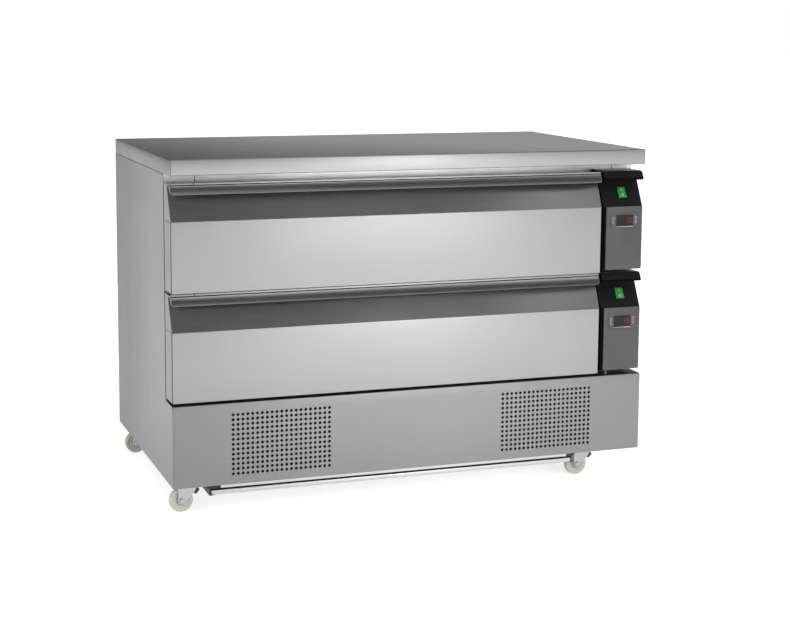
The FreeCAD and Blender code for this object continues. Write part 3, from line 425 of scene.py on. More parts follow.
def drawer_front(level):
    """The folded front of one drawer."""
    low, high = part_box(f"drawer_front_{level}")
    front, back = low.y, high.y
    neck = front + LEAN * (1 - CREASE[0] / LIP)
    rim = front + LEAN
    rows = [(front, low.z), (front, low.z + FACE), (front + SLANT, high.z - PLATE),
            (rim + PLATE, high.z - PLATE), (front + PLATE, high.z - LIP), (front, high.z - LIP),
            (neck, high.z - CREASE[0]), (rim + PLATE, high.z - CREASE[0]), (rim + PLATE, high.z - CREASE[1]),
            (rim, high.z - CREASE[1]), (rim, high.z + RIM_RISE), (rim + PLATE, high.z + RIM_RISE),
            (rim + PLATE, high.z), (back, high.z), (back, low.z)]
    made = bmesh.new()
    drawn_out(made, [(low.x + END_GAP, y, z) for y, z in rows], (high.x - low.x - END_GAP, 0, 0))
    ends = [edge for edge in made.edges if abs(way(edge).x) < 0.1 and middle(edge).y < back - MM
            and middle(edge).z < high.z - LIP - MM]
    soften(made, ends, END_FOLD, 1)
    tip = [edge for edge in made.edges if abs(way(edge).y) > 0.9
           and abs(middle(edge).z - (high.z - LIP)) < MM]
    soften(made, tip, LIP_ROUND, 5)
    lip_face = max((face for face in made.faces if face.normal.y < -0.8
                    and face.calc_center_median().z > high.z - LIP), key=lambda face: face.calc_area())
    bmesh.ops.inset_individual(made, faces=[lip_face], thickness=HEM, depth=-HEM_STEP,
                               use_even_offset=True)
    # The lip's middle, inside its hem, takes the darker lip steel, painted shade.
    lip_face.material_index = 1
    folds = [edge for edge in made.edges if along_at(edge, front, low.z)
             or along_at(edge, front, low.z + FACE)]
    soften(made, folds, 1.2 * MM, 3)
    soften(made, [edge for edge in made.edges if along_at(edge, rim, high.z + RIM_RISE)], 0.6 * MM, 2)
    skin = piece(f"drawer_skin_{level}", made, front_steel, f"drawer_{level}",
                 [f"drawer_front_{level}"])
    skin.data.materials.append(lip_steel_painted_shade)
    # The left corner fold of the face is painted dark as shade.
    second_finish(skin, fold_painted_shade, lambda normal, spot: spot.z < low.z + FACE and normal.y < -0.4
                  and -0.95 < normal.x < -0.4)
    # Right-facing faces of the folds take the pale steel, a painted highlight.
    second_finish(skin, frame_steel_and_painted_highlight, lambda normal, spot: 0.4 < normal.x < 0.95)
    # The left end takes the darker side steel, with its painted shade.
    second_finish(skin, side_steel_painted_shade, lambda normal, spot: normal.x < -0.95)
    second_finish(skin, lip_steel_painted_shade, lambda normal, spot: normal.y < -0.5 and abs(normal.x) < 0.1
                  and high.z - CREASE[0] - 1.2 * HEM < spot.z < high.z - CREASE[0])
    # The step of the crease under the rim is painted near black as shade.
    second_finish(skin, joint_black_and_painted_shade, lambda normal, spot: rim - MM < spot.y < rim + 1.1 * PLATE
                  and high.z - CREASE[0] - 0.1 * MM < spot.z < high.z - CREASE[1] + 0.1 * MM)
    joints = bmesh.new()
    corner_box(joints, (low.x + RIM_JOINT, rim - 0.1 * MM, high.z - CREASE[1]),
               (low.x + RIM_JOINT + 1.8 * MM, rim + PLATE, high.z + RIM_RISE + 0.1 * MM))
    corner_box(joints, (low.x + 0.02 * MM, front + END_FOLD, low.z + FACE - 0.6 * MM),
               (low.x + 0.3 * MM, back - MM, low.z + FACE + 0.6 * MM))
    return piece(f"drawer_joints_{level}", joints, joint_black_and_painted_shade, f"drawer_{level}")


for level in ("upper", "lower"):
    drawer_front(level)

# %% [markdown]
# The gasket is a soft magnetic profile in one loop. A rectangle gets rounded corners, an inset turns
# it into a ring, and two more insets with a depth raise the hollow bead that meets the front frame.

# %% Gaskets
GASKET = 14 * MM
GASKET_FOOT = 4 * MM


def gasket(level):
    """A loop of gasket on the back of a drawer front."""
    low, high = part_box(f"gasket_{level}")
    made = bmesh.new()
    flat = bmesh.ops.create_grid(made, x_segments=1, y_segments=1, size=0.5)["verts"]
    bmesh.ops.rotate(made, verts=flat, matrix=Matrix.Rotation(-math.pi / 2, 3, "X"))
    bmesh.ops.scale(made, verts=flat, vec=(high.x - low.x, 1, high.z - low.z))
    bmesh.ops.translate(made, verts=flat, vec=((low.x + high.x) / 2, low.y, (low.z + high.z) / 2))
    bmesh.ops.bevel(made, geom=made.verts[:], offset=10 * MM, offset_type="OFFSET", segments=5,
                    profile=0.5, affect="VERTICES", clamp_overlap=True, material=-1)
    inside = made.faces[:]
    loop = bmesh.ops.inset_region(made, faces=inside, thickness=GASKET, use_boundary=True)["faces"]
    bmesh.ops.delete(made, geom=inside, context="FACES")
    grown = bmesh.ops.extrude_face_region(made, geom=loop, use_keep_orig=True)["geom"]
    upper = [part for part in grown if isinstance(part, bmesh.types.BMFace)]
    raised = [part for part in grown if isinstance(part, bmesh.types.BMVert)]
    bmesh.ops.translate(made, verts=raised, vec=(0, GASKET_FOOT, 0))
    bmesh.ops.recalc_face_normals(made, faces=made.faces)
    tall = high.y - low.y - GASKET_FOOT
    for thickness, depth in ((2.5 * MM, 0), (0.6 * MM, 0.7 * tall), (1.6 * MM, 0.3 * tall)):
        bmesh.ops.inset_region(made, faces=upper, thickness=thickness, depth=depth,
                               use_boundary=True, use_even_offset=True)
    return piece(f"gasket_loop_{level}", made, seal_rubber, f"drawer_{level}", [f"gasket_{level}"],
                 50)


for level in ("upper", "lower"):
    gasket(level)

# %% [markdown]
# ## Plinth front
# A perforated plinth could be a flat sheet with a picture of holes, but real holes show the dark
# space behind and its depth. One cell, a square ring round a twelve-sided hole, is copied over the
# field and welded. The rest of the sheet is pulled out of the field's own edge.

# %% Perforated plinth
PITCH = 12 * MM
HOLE = 3.65 * MM
COLUMNS = 21
ROWS = 13
FIELD_FROM_MIDDLE = 349 * MM
FIELD_RISE = 25.5 * MM
SKIN = 1.2 * MM
plinth_low, plinth_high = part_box("plinth_front")
SIDES = 12


def edge_of(shape, axis, value):
    """The open edges that lie on one line."""
    return [edge for edge in shape.edges if len(edge.link_faces) == 1
            and all(abs(vert.co[axis] - value) < 1e-6 for vert in edge.verts)]


def pull(shape, axis, start, stop):
    """Draw the open edge at start out to stop."""
    grown = bmesh.ops.extrude_edge_only(shape, edges=edge_of(shape, axis, start))["geom"]
    ends = [part for part in grown if isinstance(part, bmesh.types.BMVert)]
    step = Vector((0, 0, 0))
    step[axis] = stop - start
    bmesh.ops.translate(shape, verts=ends, vec=step)


shape = bmesh.new()
hole = bmesh.ops.create_circle(shape, segments=SIDES, radius=HOLE)["verts"]
bmesh.ops.rotate(shape, verts=hole, matrix=Matrix.Rotation(math.pi / 4, 3, "Z"))
square = bmesh.ops.create_circle(shape, segments=4, radius=PITCH / math.sqrt(2))["verts"]
bmesh.ops.rotate(shape, verts=square, matrix=Matrix.Rotation(math.pi / 4, 3, "Z"))
sides = [edge for edge in shape.edges if all(vert in square for vert in edge.verts)]
bmesh.ops.subdivide_edges(shape, edges=sides, cuts=SIDES // 4 - 1)
bmesh.ops.bridge_loops(shape, edges=shape.edges[:])
bmesh.ops.rotate(shape, verts=shape.verts, matrix=Matrix.Rotation(math.pi / 2, 3, "X"))
cell = shape.verts[:] + shape.edges[:] + shape.faces[:]
for column in range(COLUMNS):
    for row in range(ROWS):
        if column or row:
            copy = bmesh.ops.duplicate(shape, geom=cell)["geom"]
            fresh = [part for part in copy if isinstance(part, bmesh.types.BMVert)]
            bmesh.ops.translate(shape, verts=fresh, vec=(column * PITCH, 0, row * PITCH))
bmesh.ops.remove_doubles(shape, verts=shape.verts, dist=0.01 * MM)
field_left = -FIELD_FROM_MIDDLE - (COLUMNS - 1) / 2 * PITCH
field_low = plinth_low.z + FIELD_RISE
bmesh.ops.translate(shape, verts=shape.verts, vec=(field_left, plinth_low.y, field_low))
half = PITCH / 2
pull(shape, 2, field_low - half, plinth_low.z)
pull(shape, 2, field_low + (ROWS - 0.5) * PITCH, plinth_high.z)
pull(shape, 0, field_left - half, plinth_low.x)
pull(shape, 0, field_left + (COLUMNS - 0.5) * PITCH, 0)
mirrored = bmesh.ops.duplicate(shape, geom=shape.verts[:] + shape.edges[:] + shape.faces[:])["geom"]
flipped = [part for part in mirrored if isinstance(part, bmesh.types.BMVert)]
bmesh.ops.scale(shape, verts=flipped, vec=(-1, 1, 1))
bmesh.ops.remove_doubles(shape, verts=shape.verts, dist=0.01 * MM)
pull(shape, 2, plinth_high.z, plinth_high.z + MM)
top_row = edge_of(shape, 2, plinth_high.z + MM)
for vert in {vert for edge in top_row for vert in edge.verts}:
    vert.co.z = plinth_high.z
    vert.co.y = plinth_high.y
bmesh.ops.recalc_face_normals(shape, faces=shape.faces)
if sum(face.normal.y for face in shape.faces) > 0:
    bmesh.ops.reverse_faces(shape, faces=shape.faces)
fold = [edge for edge in shape.edges if len(edge.link_faces) == 2 and abs(way(edge).x) > 0.9
        and abs(middle(edge).z - plinth_high.z) < 1e-6 and middle(edge).y < plinth_low.y + 1e-6]
soften(shape, fold, 2 * MM, 3)
bmesh.ops.solidify(shape, geom=shape.faces[:], thickness=SKIN)
piece("plinth_sheet", shape, plinth_steel, "cabinet", ["plinth_front"])

# %% [markdown]
# ## Side panels
# Each side is a single sheet, cut back above the plinth so that the drawer fronts close over it, with
# a small round at the plinth's upper front corner.

# %% Side panels
CORNER = 6 * MM
SEAL = 1.2 * MM


def side_panel(side):
    """One outer side sheet."""
    low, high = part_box(f"side_panel_{side}")
    step_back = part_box("front_frame")[0].y
    top = high.z - SEAL
    ring = [(low.x, low.y, low.z), (low.x, low.y, plinth_high.z), (low.x, step_back, plinth_high.z),
            (low.x, step_back, top), (low.x, high.y, top), (low.x, high.y, low.z)]
    made = bmesh.new()
    drawn_out(made, ring, (high.x - low.x, 0, 0))
    corners = [edge for edge in made.edges if along_at(edge, low.y, plinth_high.z)
               or along_at(edge, step_back, top)]
    soften(made, corners, CORNER, 5)
    rim = [edge for edge in made.edges if crisp(edge) and abs(way(edge).x) < 0.9]
    soften(made, rim, 0.35 * MM, 1)
    # Each side sheet takes the side steel, whose tone carries painted shade towards the back.
    return piece(f"side_sheet_{side}", made, side_steel_painted_shade, "cabinet", [f"side_panel_{side}"])


for side in ("left", "right"):
    side_panel(side)

# %% The dark bead between the worktop and the carcass
worktop_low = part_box("worktop")[0]
bead = bmesh.new()
for side in ("left", "right"):
    low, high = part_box(f"side_panel_{side}")
    step_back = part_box("front_frame")[0].y
    corner_box(bead, (low.x + 0.4 * MM, step_back + MM, high.z - SEAL),
               (high.x - 0.4 * MM, high.y - MM, worktop_low.z))
piece("worktop_bead", bead, seal_rubber, "cabinet")

# %% Joint lines between the head rail and the stiles
JOINT = 1.7 * MM
frame_low, frame_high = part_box("front_frame")
joints = bmesh.new()
for x in (cad_low.x + 75 * MM, cad_high.x - 58 * MM):
    corner_box(joints, (x, frame_low.y - 0.15 * MM, frame_high.z - 24 * MM),
               (x + JOINT, frame_low.y + 0.2 * MM, frame_high.z))
piece("frame_joints", joints, joint_black_and_painted_shade, "cabinet")

# %% The stud that the lower control unit stands on
unit_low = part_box("control_housings")[0]
stud = bmesh.new()
bmesh.ops.create_cone(stud, cap_ends=True, segments=24, radius1=5 * MM, radius2=4.4 * MM,
                      depth=unit_low.z - plinth_high.z)
soften(stud, [edge for edge in stud.edges if abs(way(edge).z) < 0.5], 0.4 * MM, 2)
bmesh.ops.translate(stud, verts=stud.verts,
                    vec=(unit_low.x + 22 * MM, unit_low.y + 14 * MM, (unit_low.z + plinth_high.z) / 2))
piece("unit_stud", stud, seal_rubber, "cabinet")

# %% [markdown]
# ## Control units
# Each control unit is a black moulding that repeats the drawer's own section, with a heavier hood. A
# grey plate covers its flat part and carries the thermostat, and a green rocker sits in the slope.
# A rectangular hole is made in a face by cutting the face along four planes and pushing in the part
# that is left in the middle. A boolean would do it too, but it leaves long thin faces behind.

# %% A rectangular recess
def rectangle_in(shape, centre, across, along, half_across, half_along):
    """Cut the face under centre along a rectangle and return the part inside."""
    centre = Vector(centre)
    normal = across.cross(along).normalized()

    def on_face(face):
        offset = (face.calc_center_median() - centre).dot(normal)
        return abs(offset) < 0.05 * MM and abs(abs(face.normal.dot(normal)) - 1) < 1e-3

    for axis, half in ((across, half_across), (along, half_along)):
        for sign in (-1, 1):
            faces = [face for face in shape.faces if on_face(face)]
            edges = {edge for face in faces for edge in face.edges}
            verts = {vert for face in faces for vert in face.verts}
            bmesh.ops.bisect_plane(shape, geom=faces + list(edges) + list(verts), dist=1e-7,
                                   plane_co=centre + axis * sign * half, plane_no=axis)
    inside = [face for face in shape.faces if on_face(face)
              and (face.calc_center_median() - centre).length < 0.2 * min(half_across, half_along)]
    return inside[0]


def push_in(shape, face, depth):
    """Push a face straight in, with upright walls round it."""
    bmesh.ops.inset_individual(shape, faces=[face], thickness=0.02 * MM, depth=-depth)


X_WAY = Vector((1, 0, 0))
Z_WAY = Vector((0, 0, 1))

# %% The moulded housings
HOOD = 23 * MM
HOOD_LEAN = 10 * MM
HOOD_EDGE = 6 * MM
HOOD_ROUND = 5 * MM
HOUSING_SET = 4 * MM
HOUSING_RISE = 6.5 * MM
ROCKER_WIDE = 21.4 * MM
ROCKER_TALL = 29 * MM
LEVELS = ("upper", "lower")


def unit_box(name, level):
    """The corners of one level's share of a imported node."""
    points = [vert.co for vert in nodes[name].data.vertices]
    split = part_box("drawer_front_upper")[0].z
    own = [point for point in points if (point.z > split) == (level == "upper")]
    low = Vector(min(point[axis] for point in own) for axis in range(3))
    high = Vector(max(point[axis] for point in own) for axis in range(3))
    return low, high


def slope_frame(level):
    """The middle of the sloping part of a housing and the way up it."""
    low, high = unit_box("control_housings", level)
    plate_low, plate_high = unit_box("control_fascias", level)
    foot = Vector((0, low.y + HOUSING_SET, low.z - HOUSING_RISE + FACE))
    head = Vector((0, low.y + SLANT, high.z - HOOD))
    centre = (foot + head) / 2
    centre.x = (plate_low.x + plate_high.x) / 2
    return centre, (head - foot).normalized()


shape = bmesh.new()
for level in LEVELS:
    low, high = unit_box("control_housings", level)
    foot = low.z - HOUSING_RISE + FACE
    under = high.z - HOOD
    rows = [(low.y + HOUSING_SET, low.z), (low.y + HOUSING_SET, foot), (low.y + SLANT, under),
            (low.y, under), (low.y, under + HOOD_EDGE), (low.y + HOOD_LEAN, high.z),
            (high.y, high.z), (high.y, low.z)]
    part = bmesh.new()
    drawn_out(part, [(low.x, y, z) for y, z in rows], (high.x - low.x, 0, 0))
    shoulder = [edge for edge in part.edges if abs(way(edge).y) > 0.9 and middle(edge).z > under
                and middle(edge).x > high.x - MM and middle(edge).z > high.z - MM]
    soften(part, shoulder, HOOD_ROUND, 4)
    brow = [edge for edge in part.edges if along_at(edge, low.y + HOOD_LEAN, high.z)
            or along_at(edge, low.y, under + HOOD_EDGE)]
    soften(part, brow, 3 * MM, 4)
    rims = [edge for edge in part.edges if crisp(edge) and middle(edge).y < high.y - MM]
    soften(part, rims, 1.2 * MM, 3)
    centre, upward = slope_frame(level)
    hole = rectangle_in(part, centre, X_WAY, upward, ROCKER_WIDE / 2 + 2 * MM, ROCKER_TALL / 2 + 2 * MM)
    push_in(part, hole, 20 * MM)
    join_in(shape, part)
housings = piece("housing_mouldings", shape, housing_plastic, "cabinet", ["control_housings"],
                 40)
plate_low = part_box("control_fascias")[0]
# The housings' upward faces are painted lighter as a highlight.
second_finish(housings, hood_top_painted_highlight, lambda normal, spot: normal.z > 0.7)
# The housings' front round the fascia plate and their left ends take the matte near black, painted shade.
second_finish(housings, joint_black_and_painted_shade, lambda normal, spot: normal.y < -0.95
              and spot.y > plate_low.y - 3 * MM or normal.x < -0.9)

# %% Fascia plates, with one rounded corner each
FASCIA_ROUND = 5 * MM
shape = bmesh.new()
for level in LEVELS:
    low, high = unit_box("control_fascias", level)
    verts = corner_box(shape, low, high)
    own = {edge for vert in verts for edge in vert.link_edges}
    soften(shape, [edge for edge in own if abs(way(edge).y) > 0.9 and middle(edge).x > high.x - MM
                   and middle(edge).z < low.z + MM], FASCIA_ROUND, 5)
rims = [edge for edge in shape.edges if crisp(edge) and middle(edge).y < low.y + 0.1 * MM]
soften(shape, rims, 0.4 * MM, 2)
piece("fascia_plates", shape, fascia_paint, "cabinet", ["control_fascias"])

# %% [markdown]
# The thermostat is a shallow bezel with a smoked window and a key at each side. Its face carries
# small plain marks and a pair of dim red figures made of strokes, as on any such display.

# %% Thermostat bezels and windows
BEZEL_ROUND = 3 * MM
WINDOW = (48 * MM, 29.5 * MM)
BEZEL_EDGE = 1.5 * MM
STRIP = 0.08 * MM
KEY = (8 * MM, 22 * MM)
SUNK = 0.3 * MM
bezels = bmesh.new()
glass = bmesh.new()
strips = bmesh.new()
for level in LEVELS:
    low, high = unit_box("thermostats", level)
    pane_low, pane_high = unit_box("display_windows", level)
    centre = (pane_low + pane_high) / 2
    face_y = low.y + STRIP
    verts = corner_box(bezels, (low.x, face_y, low.z - BEZEL_EDGE),
                       (high.x, low.y + 2 * MM, high.z + BEZEL_EDGE))
    own = {edge for vert in verts for edge in vert.link_edges}
    soften(bezels, [edge for edge in own if abs(way(edge).y) > 0.9], BEZEL_ROUND, 4)
    rims = [edge for edge in bezels.edges if crisp(edge) and middle(edge).y < low.y + 0.1 * MM
            and low.z - 3 * MM < middle(edge).z < high.z + 3 * MM]
    soften(bezels, rims, 0.5 * MM, 2)
    spot = Vector((centre.x, face_y, centre.z))
    push_in(bezels, rectangle_in(bezels, spot, X_WAY, Z_WAY, WINDOW[0] / 2, WINDOW[1] / 2), 0.7 * MM)
    for hand in ("left", "right"):
        key_low, key_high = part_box(f"key_{hand}_{level}")
        spot = Vector(((key_low.x + key_high.x) / 2, face_y, (key_low.z + key_high.z) / 2))
        well = rectangle_in(bezels, spot, X_WAY, Z_WAY, KEY[0] / 2 + 0.2 * MM, KEY[1] / 2 + 0.2 * MM)
        push_in(bezels, well, 1.7 * MM)
    half_wide = WINDOW[0] / 2 - 0.1 * MM
    half_tall = WINDOW[1] / 2 - 0.1 * MM
    corner_box(glass, (centre.x - half_wide, low.y + SUNK, centre.z - half_tall),
               (centre.x + half_wide, low.y + 0.7 * MM, centre.z + half_tall))
    strip_z = centre.z - half_tall - 2.1 * MM
    corner_box(strips, (centre.x - half_wide, low.y + STRIP / 2, strip_z),
               (centre.x + half_wide, low.y + 2 * STRIP, strip_z + 1.1 * MM))
    corner_box(strips, (centre.x + half_wide - 17 * MM, low.y, strip_z - 0.3 * MM),
               (centre.x + half_wide - 2 * MM, low.y + 2 * STRIP, strip_z + 1.4 * MM))
piece("thermostat_bezels", bezels, bezel_plastic, "cabinet", ["thermostats"])
piece("smoked_windows", glass, window_glass, "cabinet", ["display_windows"])
piece("bezel_strips", strips, mark_paint, "cabinet")

# %% Keys with plain marks
# Each mark is a bar with its width, height, place across the key and depth below its top, in mm.
MARKS = ((5.6, 1, 0, 2.6), (1, 3.4, -2.3, 4.4), (1, 3.4, 2.3, 4.4), (5.6, 1, 0, 8.6), (1, 3, 0, 10.2),
         (1, 3.2, -2.3, 14.2), (5.6, 1, 0, 15.4), (5.6, 1, 0, 18.8))
for level in LEVELS:
    for hand in ("left", "right"):
        low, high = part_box(f"key_{hand}_{level}")
        key = bmesh.new()
        corner_box(key, (low.x, low.y + SUNK, low.z), high)
        soften(key, [edge for edge in key.edges if abs(way(edge).y) > 0.9], 2 * MM, 3)
        soften(key, [edge for edge in key.edges if crisp(edge) and middle(edge).y < low.y + MM],
               0.4 * MM, 2)
        piece(f"key_cap_{hand}_{level}", key, key_plastic, f"key_{hand}_{level}",
              [f"key_{hand}_{level}"])
        marks = bmesh.new()
        centre = (low + high) / 2
        for wide, tall, across, drop in MARKS:
            x = centre.x + across * MM
            z = high.z - drop * MM
            corner_box(marks, (x - wide / 2 * MM, low.y + 0.15 * MM, z - tall / 2 * MM),
                       (x + wide / 2 * MM, low.y + SUNK + 0.1 * MM, z + tall / 2 * MM))
        piece(f"key_marks_{hand}_{level}", marks, mark_paint, f"key_{hand}_{level}")

# %% Dim red figures
STROKES = {"top": (0, 1, 1), "upper_left": (-1, 0.5, 0), "upper_right": (1, 0.5, 0),
           "middle": (0, 0, 1), "lower_left": (-1, -0.5, 0), "lower_right": (1, -0.5, 0),
           "bottom": (0, -1, 1)}
FIGURES = (("top", "upper_right", "middle", "lower_left", "bottom"), tuple(STROKES))
figures = bmesh.new()
for level in LEVELS:
    low, high = unit_box("display_windows", level)
    for place, lit in enumerate(FIGURES):
        middle_x = high.x - (15 - 8 * place) * MM
        middle_z = (low.z + high.z) / 2
        for stroke in lit:
            side_way, up_way, flat = STROKES[stroke]
            wide, tall = ((4.4, 0.9) if flat else (0.9, 5.4))
            x = middle_x + side_way * 2.6 * MM
            z = middle_z + up_way * 6.2 * MM
            corner_box(figures, (x - wide / 2 * MM, low.y + 0.22 * MM, z - tall / 2 * MM),
                       (x + wide / 2 * MM, low.y + SUNK + 0.05 * MM, z + tall / 2 * MM))
piece("display_figures", figures, digit_red, "cabinet")

# %% [markdown]
# The switch lies in the slope, so it is built upright about the origin and then turned into place in
# the mesh itself. The rocker rests tipped to its lit side, and its own body tips it back.

# %% Switch frames and rockers
TIP = math.radians(6)
FLANGE = (26 * MM, 34 * MM, 1.5 * MM)


def slope_matrix(level, tip=0.0):
    """The move that lays an upright piece on a housing's slope."""
    centre, upward = slope_frame(level)
    lean = math.atan2(upward.y, upward.z)
    return Matrix.Translation(centre) @ Matrix.Rotation(-lean - tip, 4, "X")


frames = bmesh.new()
for level in LEVELS:
    ring = bmesh.new()
    corner_box(ring, (-FLANGE[0] / 2, -FLANGE[2], -FLANGE[1] / 2), (FLANGE[0] / 2, 18 * MM, FLANGE[1] / 2))
    soften(ring, [edge for edge in ring.edges if abs(way(edge).y) > 0.9], 2 * MM, 3)
    soften(ring, [edge for edge in ring.edges if crisp(edge) and middle(edge).y < -MM], 0.6 * MM, 2)
    back = [vert for vert in ring.verts if vert.co.y > MM]
    bmesh.ops.scale(ring, verts=back, vec=(0.86, 1, 0.9))
    well = rectangle_in(ring, (0, -FLANGE[2], 0), X_WAY, Z_WAY, ROCKER_WIDE / 2 + 0.5 * MM,
                        ROCKER_TALL / 2 + 0.5 * MM)
    push_in(ring, well, 14 * MM)
    bmesh.ops.transform(ring, matrix=slope_matrix(level), verts=ring.verts)
    join_in(frames, ring)

    rows = [(-3, -14.5), (-2, 0), (-3, 14.5), (3, 14.5), (6, 7.2), (6, -7.2), (3, -14.5)]
    rocker = bmesh.new()
    drawn_out(rocker, [(-ROCKER_WIDE / 2, y * MM, z * MM) for y, z in rows], (ROCKER_WIDE, 0, 0))
    soften(rocker, [edge for edge in rocker.edges if crisp(edge) and middle(edge).y < 4 * MM], 0.7 * MM, 3)
    bmesh.ops.transform(rocker, matrix=slope_matrix(level, TIP), verts=rocker.verts)
    piece(f"rocker_cap_{level}", rocker, rocker_green, f"rocker_{level}", [f"rocker_{level}"])
    marks = bmesh.new()
    corner_box(marks, (-1 * MM, -3.05 * MM, 3.5 * MM), (1 * MM, -2.2 * MM, 11 * MM))
    bmesh.ops.create_circle(marks, segments=24, radius=3.8 * MM,
                            matrix=Matrix.Translation((0, -2.85 * MM, -7.5 * MM))
                            @ Matrix.Rotation(math.pi / 2, 4, "X"))
    ring_edges = [edge for edge in marks.edges if not edge.link_faces]
    grown = bmesh.ops.extrude_edge_only(marks, edges=ring_edges)["geom"]
    outer = [part for part in grown if isinstance(part, bmesh.types.BMVert)]
    bmesh.ops.scale(marks, vec=(0.55, 1, 0.55), verts=outer,
                    space=Matrix.Translation((0, 2.85 * MM, 7.5 * MM)))
    flat = [face for face in marks.faces if len(face.verts) == 4 and face.calc_center_median().z < 0]
    bmesh.ops.solidify(marks, geom=flat, thickness=0.3 * MM)
    bmesh.ops.transform(marks, matrix=slope_matrix(level, TIP), verts=marks.verts)
    piece(f"rocker_marks_{level}", marks, rocker_light, f"rocker_{level}")
piece("switch_bodies", frames, housing_plastic, "cabinet", ["switch_frames"])

# %% [markdown]
# ## Castors
# A wheel is a turned part, so its half section is spun round the axle. The fork is pressed from one
# sheet: two cheeks with round ends, bridged by a crown that turns on a ball race under the plate.

# %% Castor wheels and forks
CORNERS = ("front_left", "front_right", "rear_left", "rear_right")
AXLE = 4 * MM
NUT = 6.4 * MM
RACE = 17 * MM
FORK_SHEET = 2.5 * MM
CROWN_GAP = 3 * MM
STEM_OFFSET = 16 * MM
FOOT = 9 * MM
BROW = 22.5 * MM
PIVOT = Vector((12.5 * MM, 0, 20 * MM))
PEDAL_PIN = 2.5 * MM
EYE = 4.55 * MM
PEDAL_LONG = 13 * MM
PEDAL_LIFT = 5 * MM
SHOE = (15 * MM, 8 * MM)
SHOE_TURN = math.radians(48)
SHOE_PLACE = Vector((8.5 * MM, 0, 0.5 * MM))


def spun(shape, rows, axis, steps=48):
    """A closed turned shape from rows of radius and height about an axis."""
    verts = [shape.verts.new((radius, 0, height)) for radius, height in rows]
    edges = [shape.edges.new(pair) for pair in zip(verts, verts[1:] + verts[:1])]
    bmesh.ops.spin(shape, geom=verts + edges, cent=(0, 0, 0), axis=(0, 0, 1), angle=2 * math.pi,
                   steps=steps, use_merge=True)
    bmesh.ops.remove_doubles(shape, verts=shape.verts, dist=0.001 * MM)
    if axis == "y":
        bmesh.ops.rotate(shape, verts=shape.verts, matrix=Matrix.Rotation(-math.pi / 2, 3, "X"))
    bmesh.ops.recalc_face_normals(shape, faces=shape.faces)


def wheel(corner):
    """A nylon wheel with a stepped side and a rounded tread."""
    low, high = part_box(f"castor_wheel_{corner}")
    radius = (high.z - low.z) / 2
    half = (high.y - low.y) / 2
    tyre = half - 1.5 * MM
    side_rows = [(AXLE + 0.1 * MM, half), (8 * MM, half), (9.5 * MM, half - 0.6 * MM),
                 (11 * MM, tyre - 1.2 * MM), (13 * MM, tyre - 2.6 * MM), (18 * MM, tyre - 2.6 * MM),
                 (19.5 * MM, tyre - 0.8 * MM), (22 * MM, tyre), (radius - 3 * MM, tyre),
                 (radius - 1 * MM, tyre - 0.9 * MM), (radius, tyre - 3 * MM)]
    rows = side_rows + [(spot, -across) for spot, across in reversed(side_rows)]
    made = bmesh.new()
    spun(made, rows, "y")
    bmesh.ops.translate(made, verts=made.verts, vec=(low + high) / 2)
    rim = piece(f"wheel_{corner}", made, nylon, f"castor_wheel_{corner}", [f"castor_wheel_{corner}"],
                40)
    hub = (low + high) / 2
    # The wheel's side faces near the hub are painted darker as shade in the recess.
    second_finish(rim, nylon_painted_shade, lambda normal, spot: abs(normal.y) > 0.3
                  and math.hypot(spot.x - hub.x, spot.z - hub.z) < 14 * MM)
    return rim


def cross_rod(radius, reach, sides=24):
    """A rod along Y, with its ends at plus and minus its reach."""
    made = bmesh.new()
    bmesh.ops.create_cone(made, cap_ends=True, segments=sides, radius1=radius, radius2=radius,
                          depth=2 * reach)
    bmesh.ops.rotate(made, verts=made.verts, matrix=Matrix.Rotation(math.pi / 2, 3, "X"))
    soften(made, [edge for edge in made.edges if abs(way(edge).y) < 0.5], 0.4 * MM, 1)
    return made


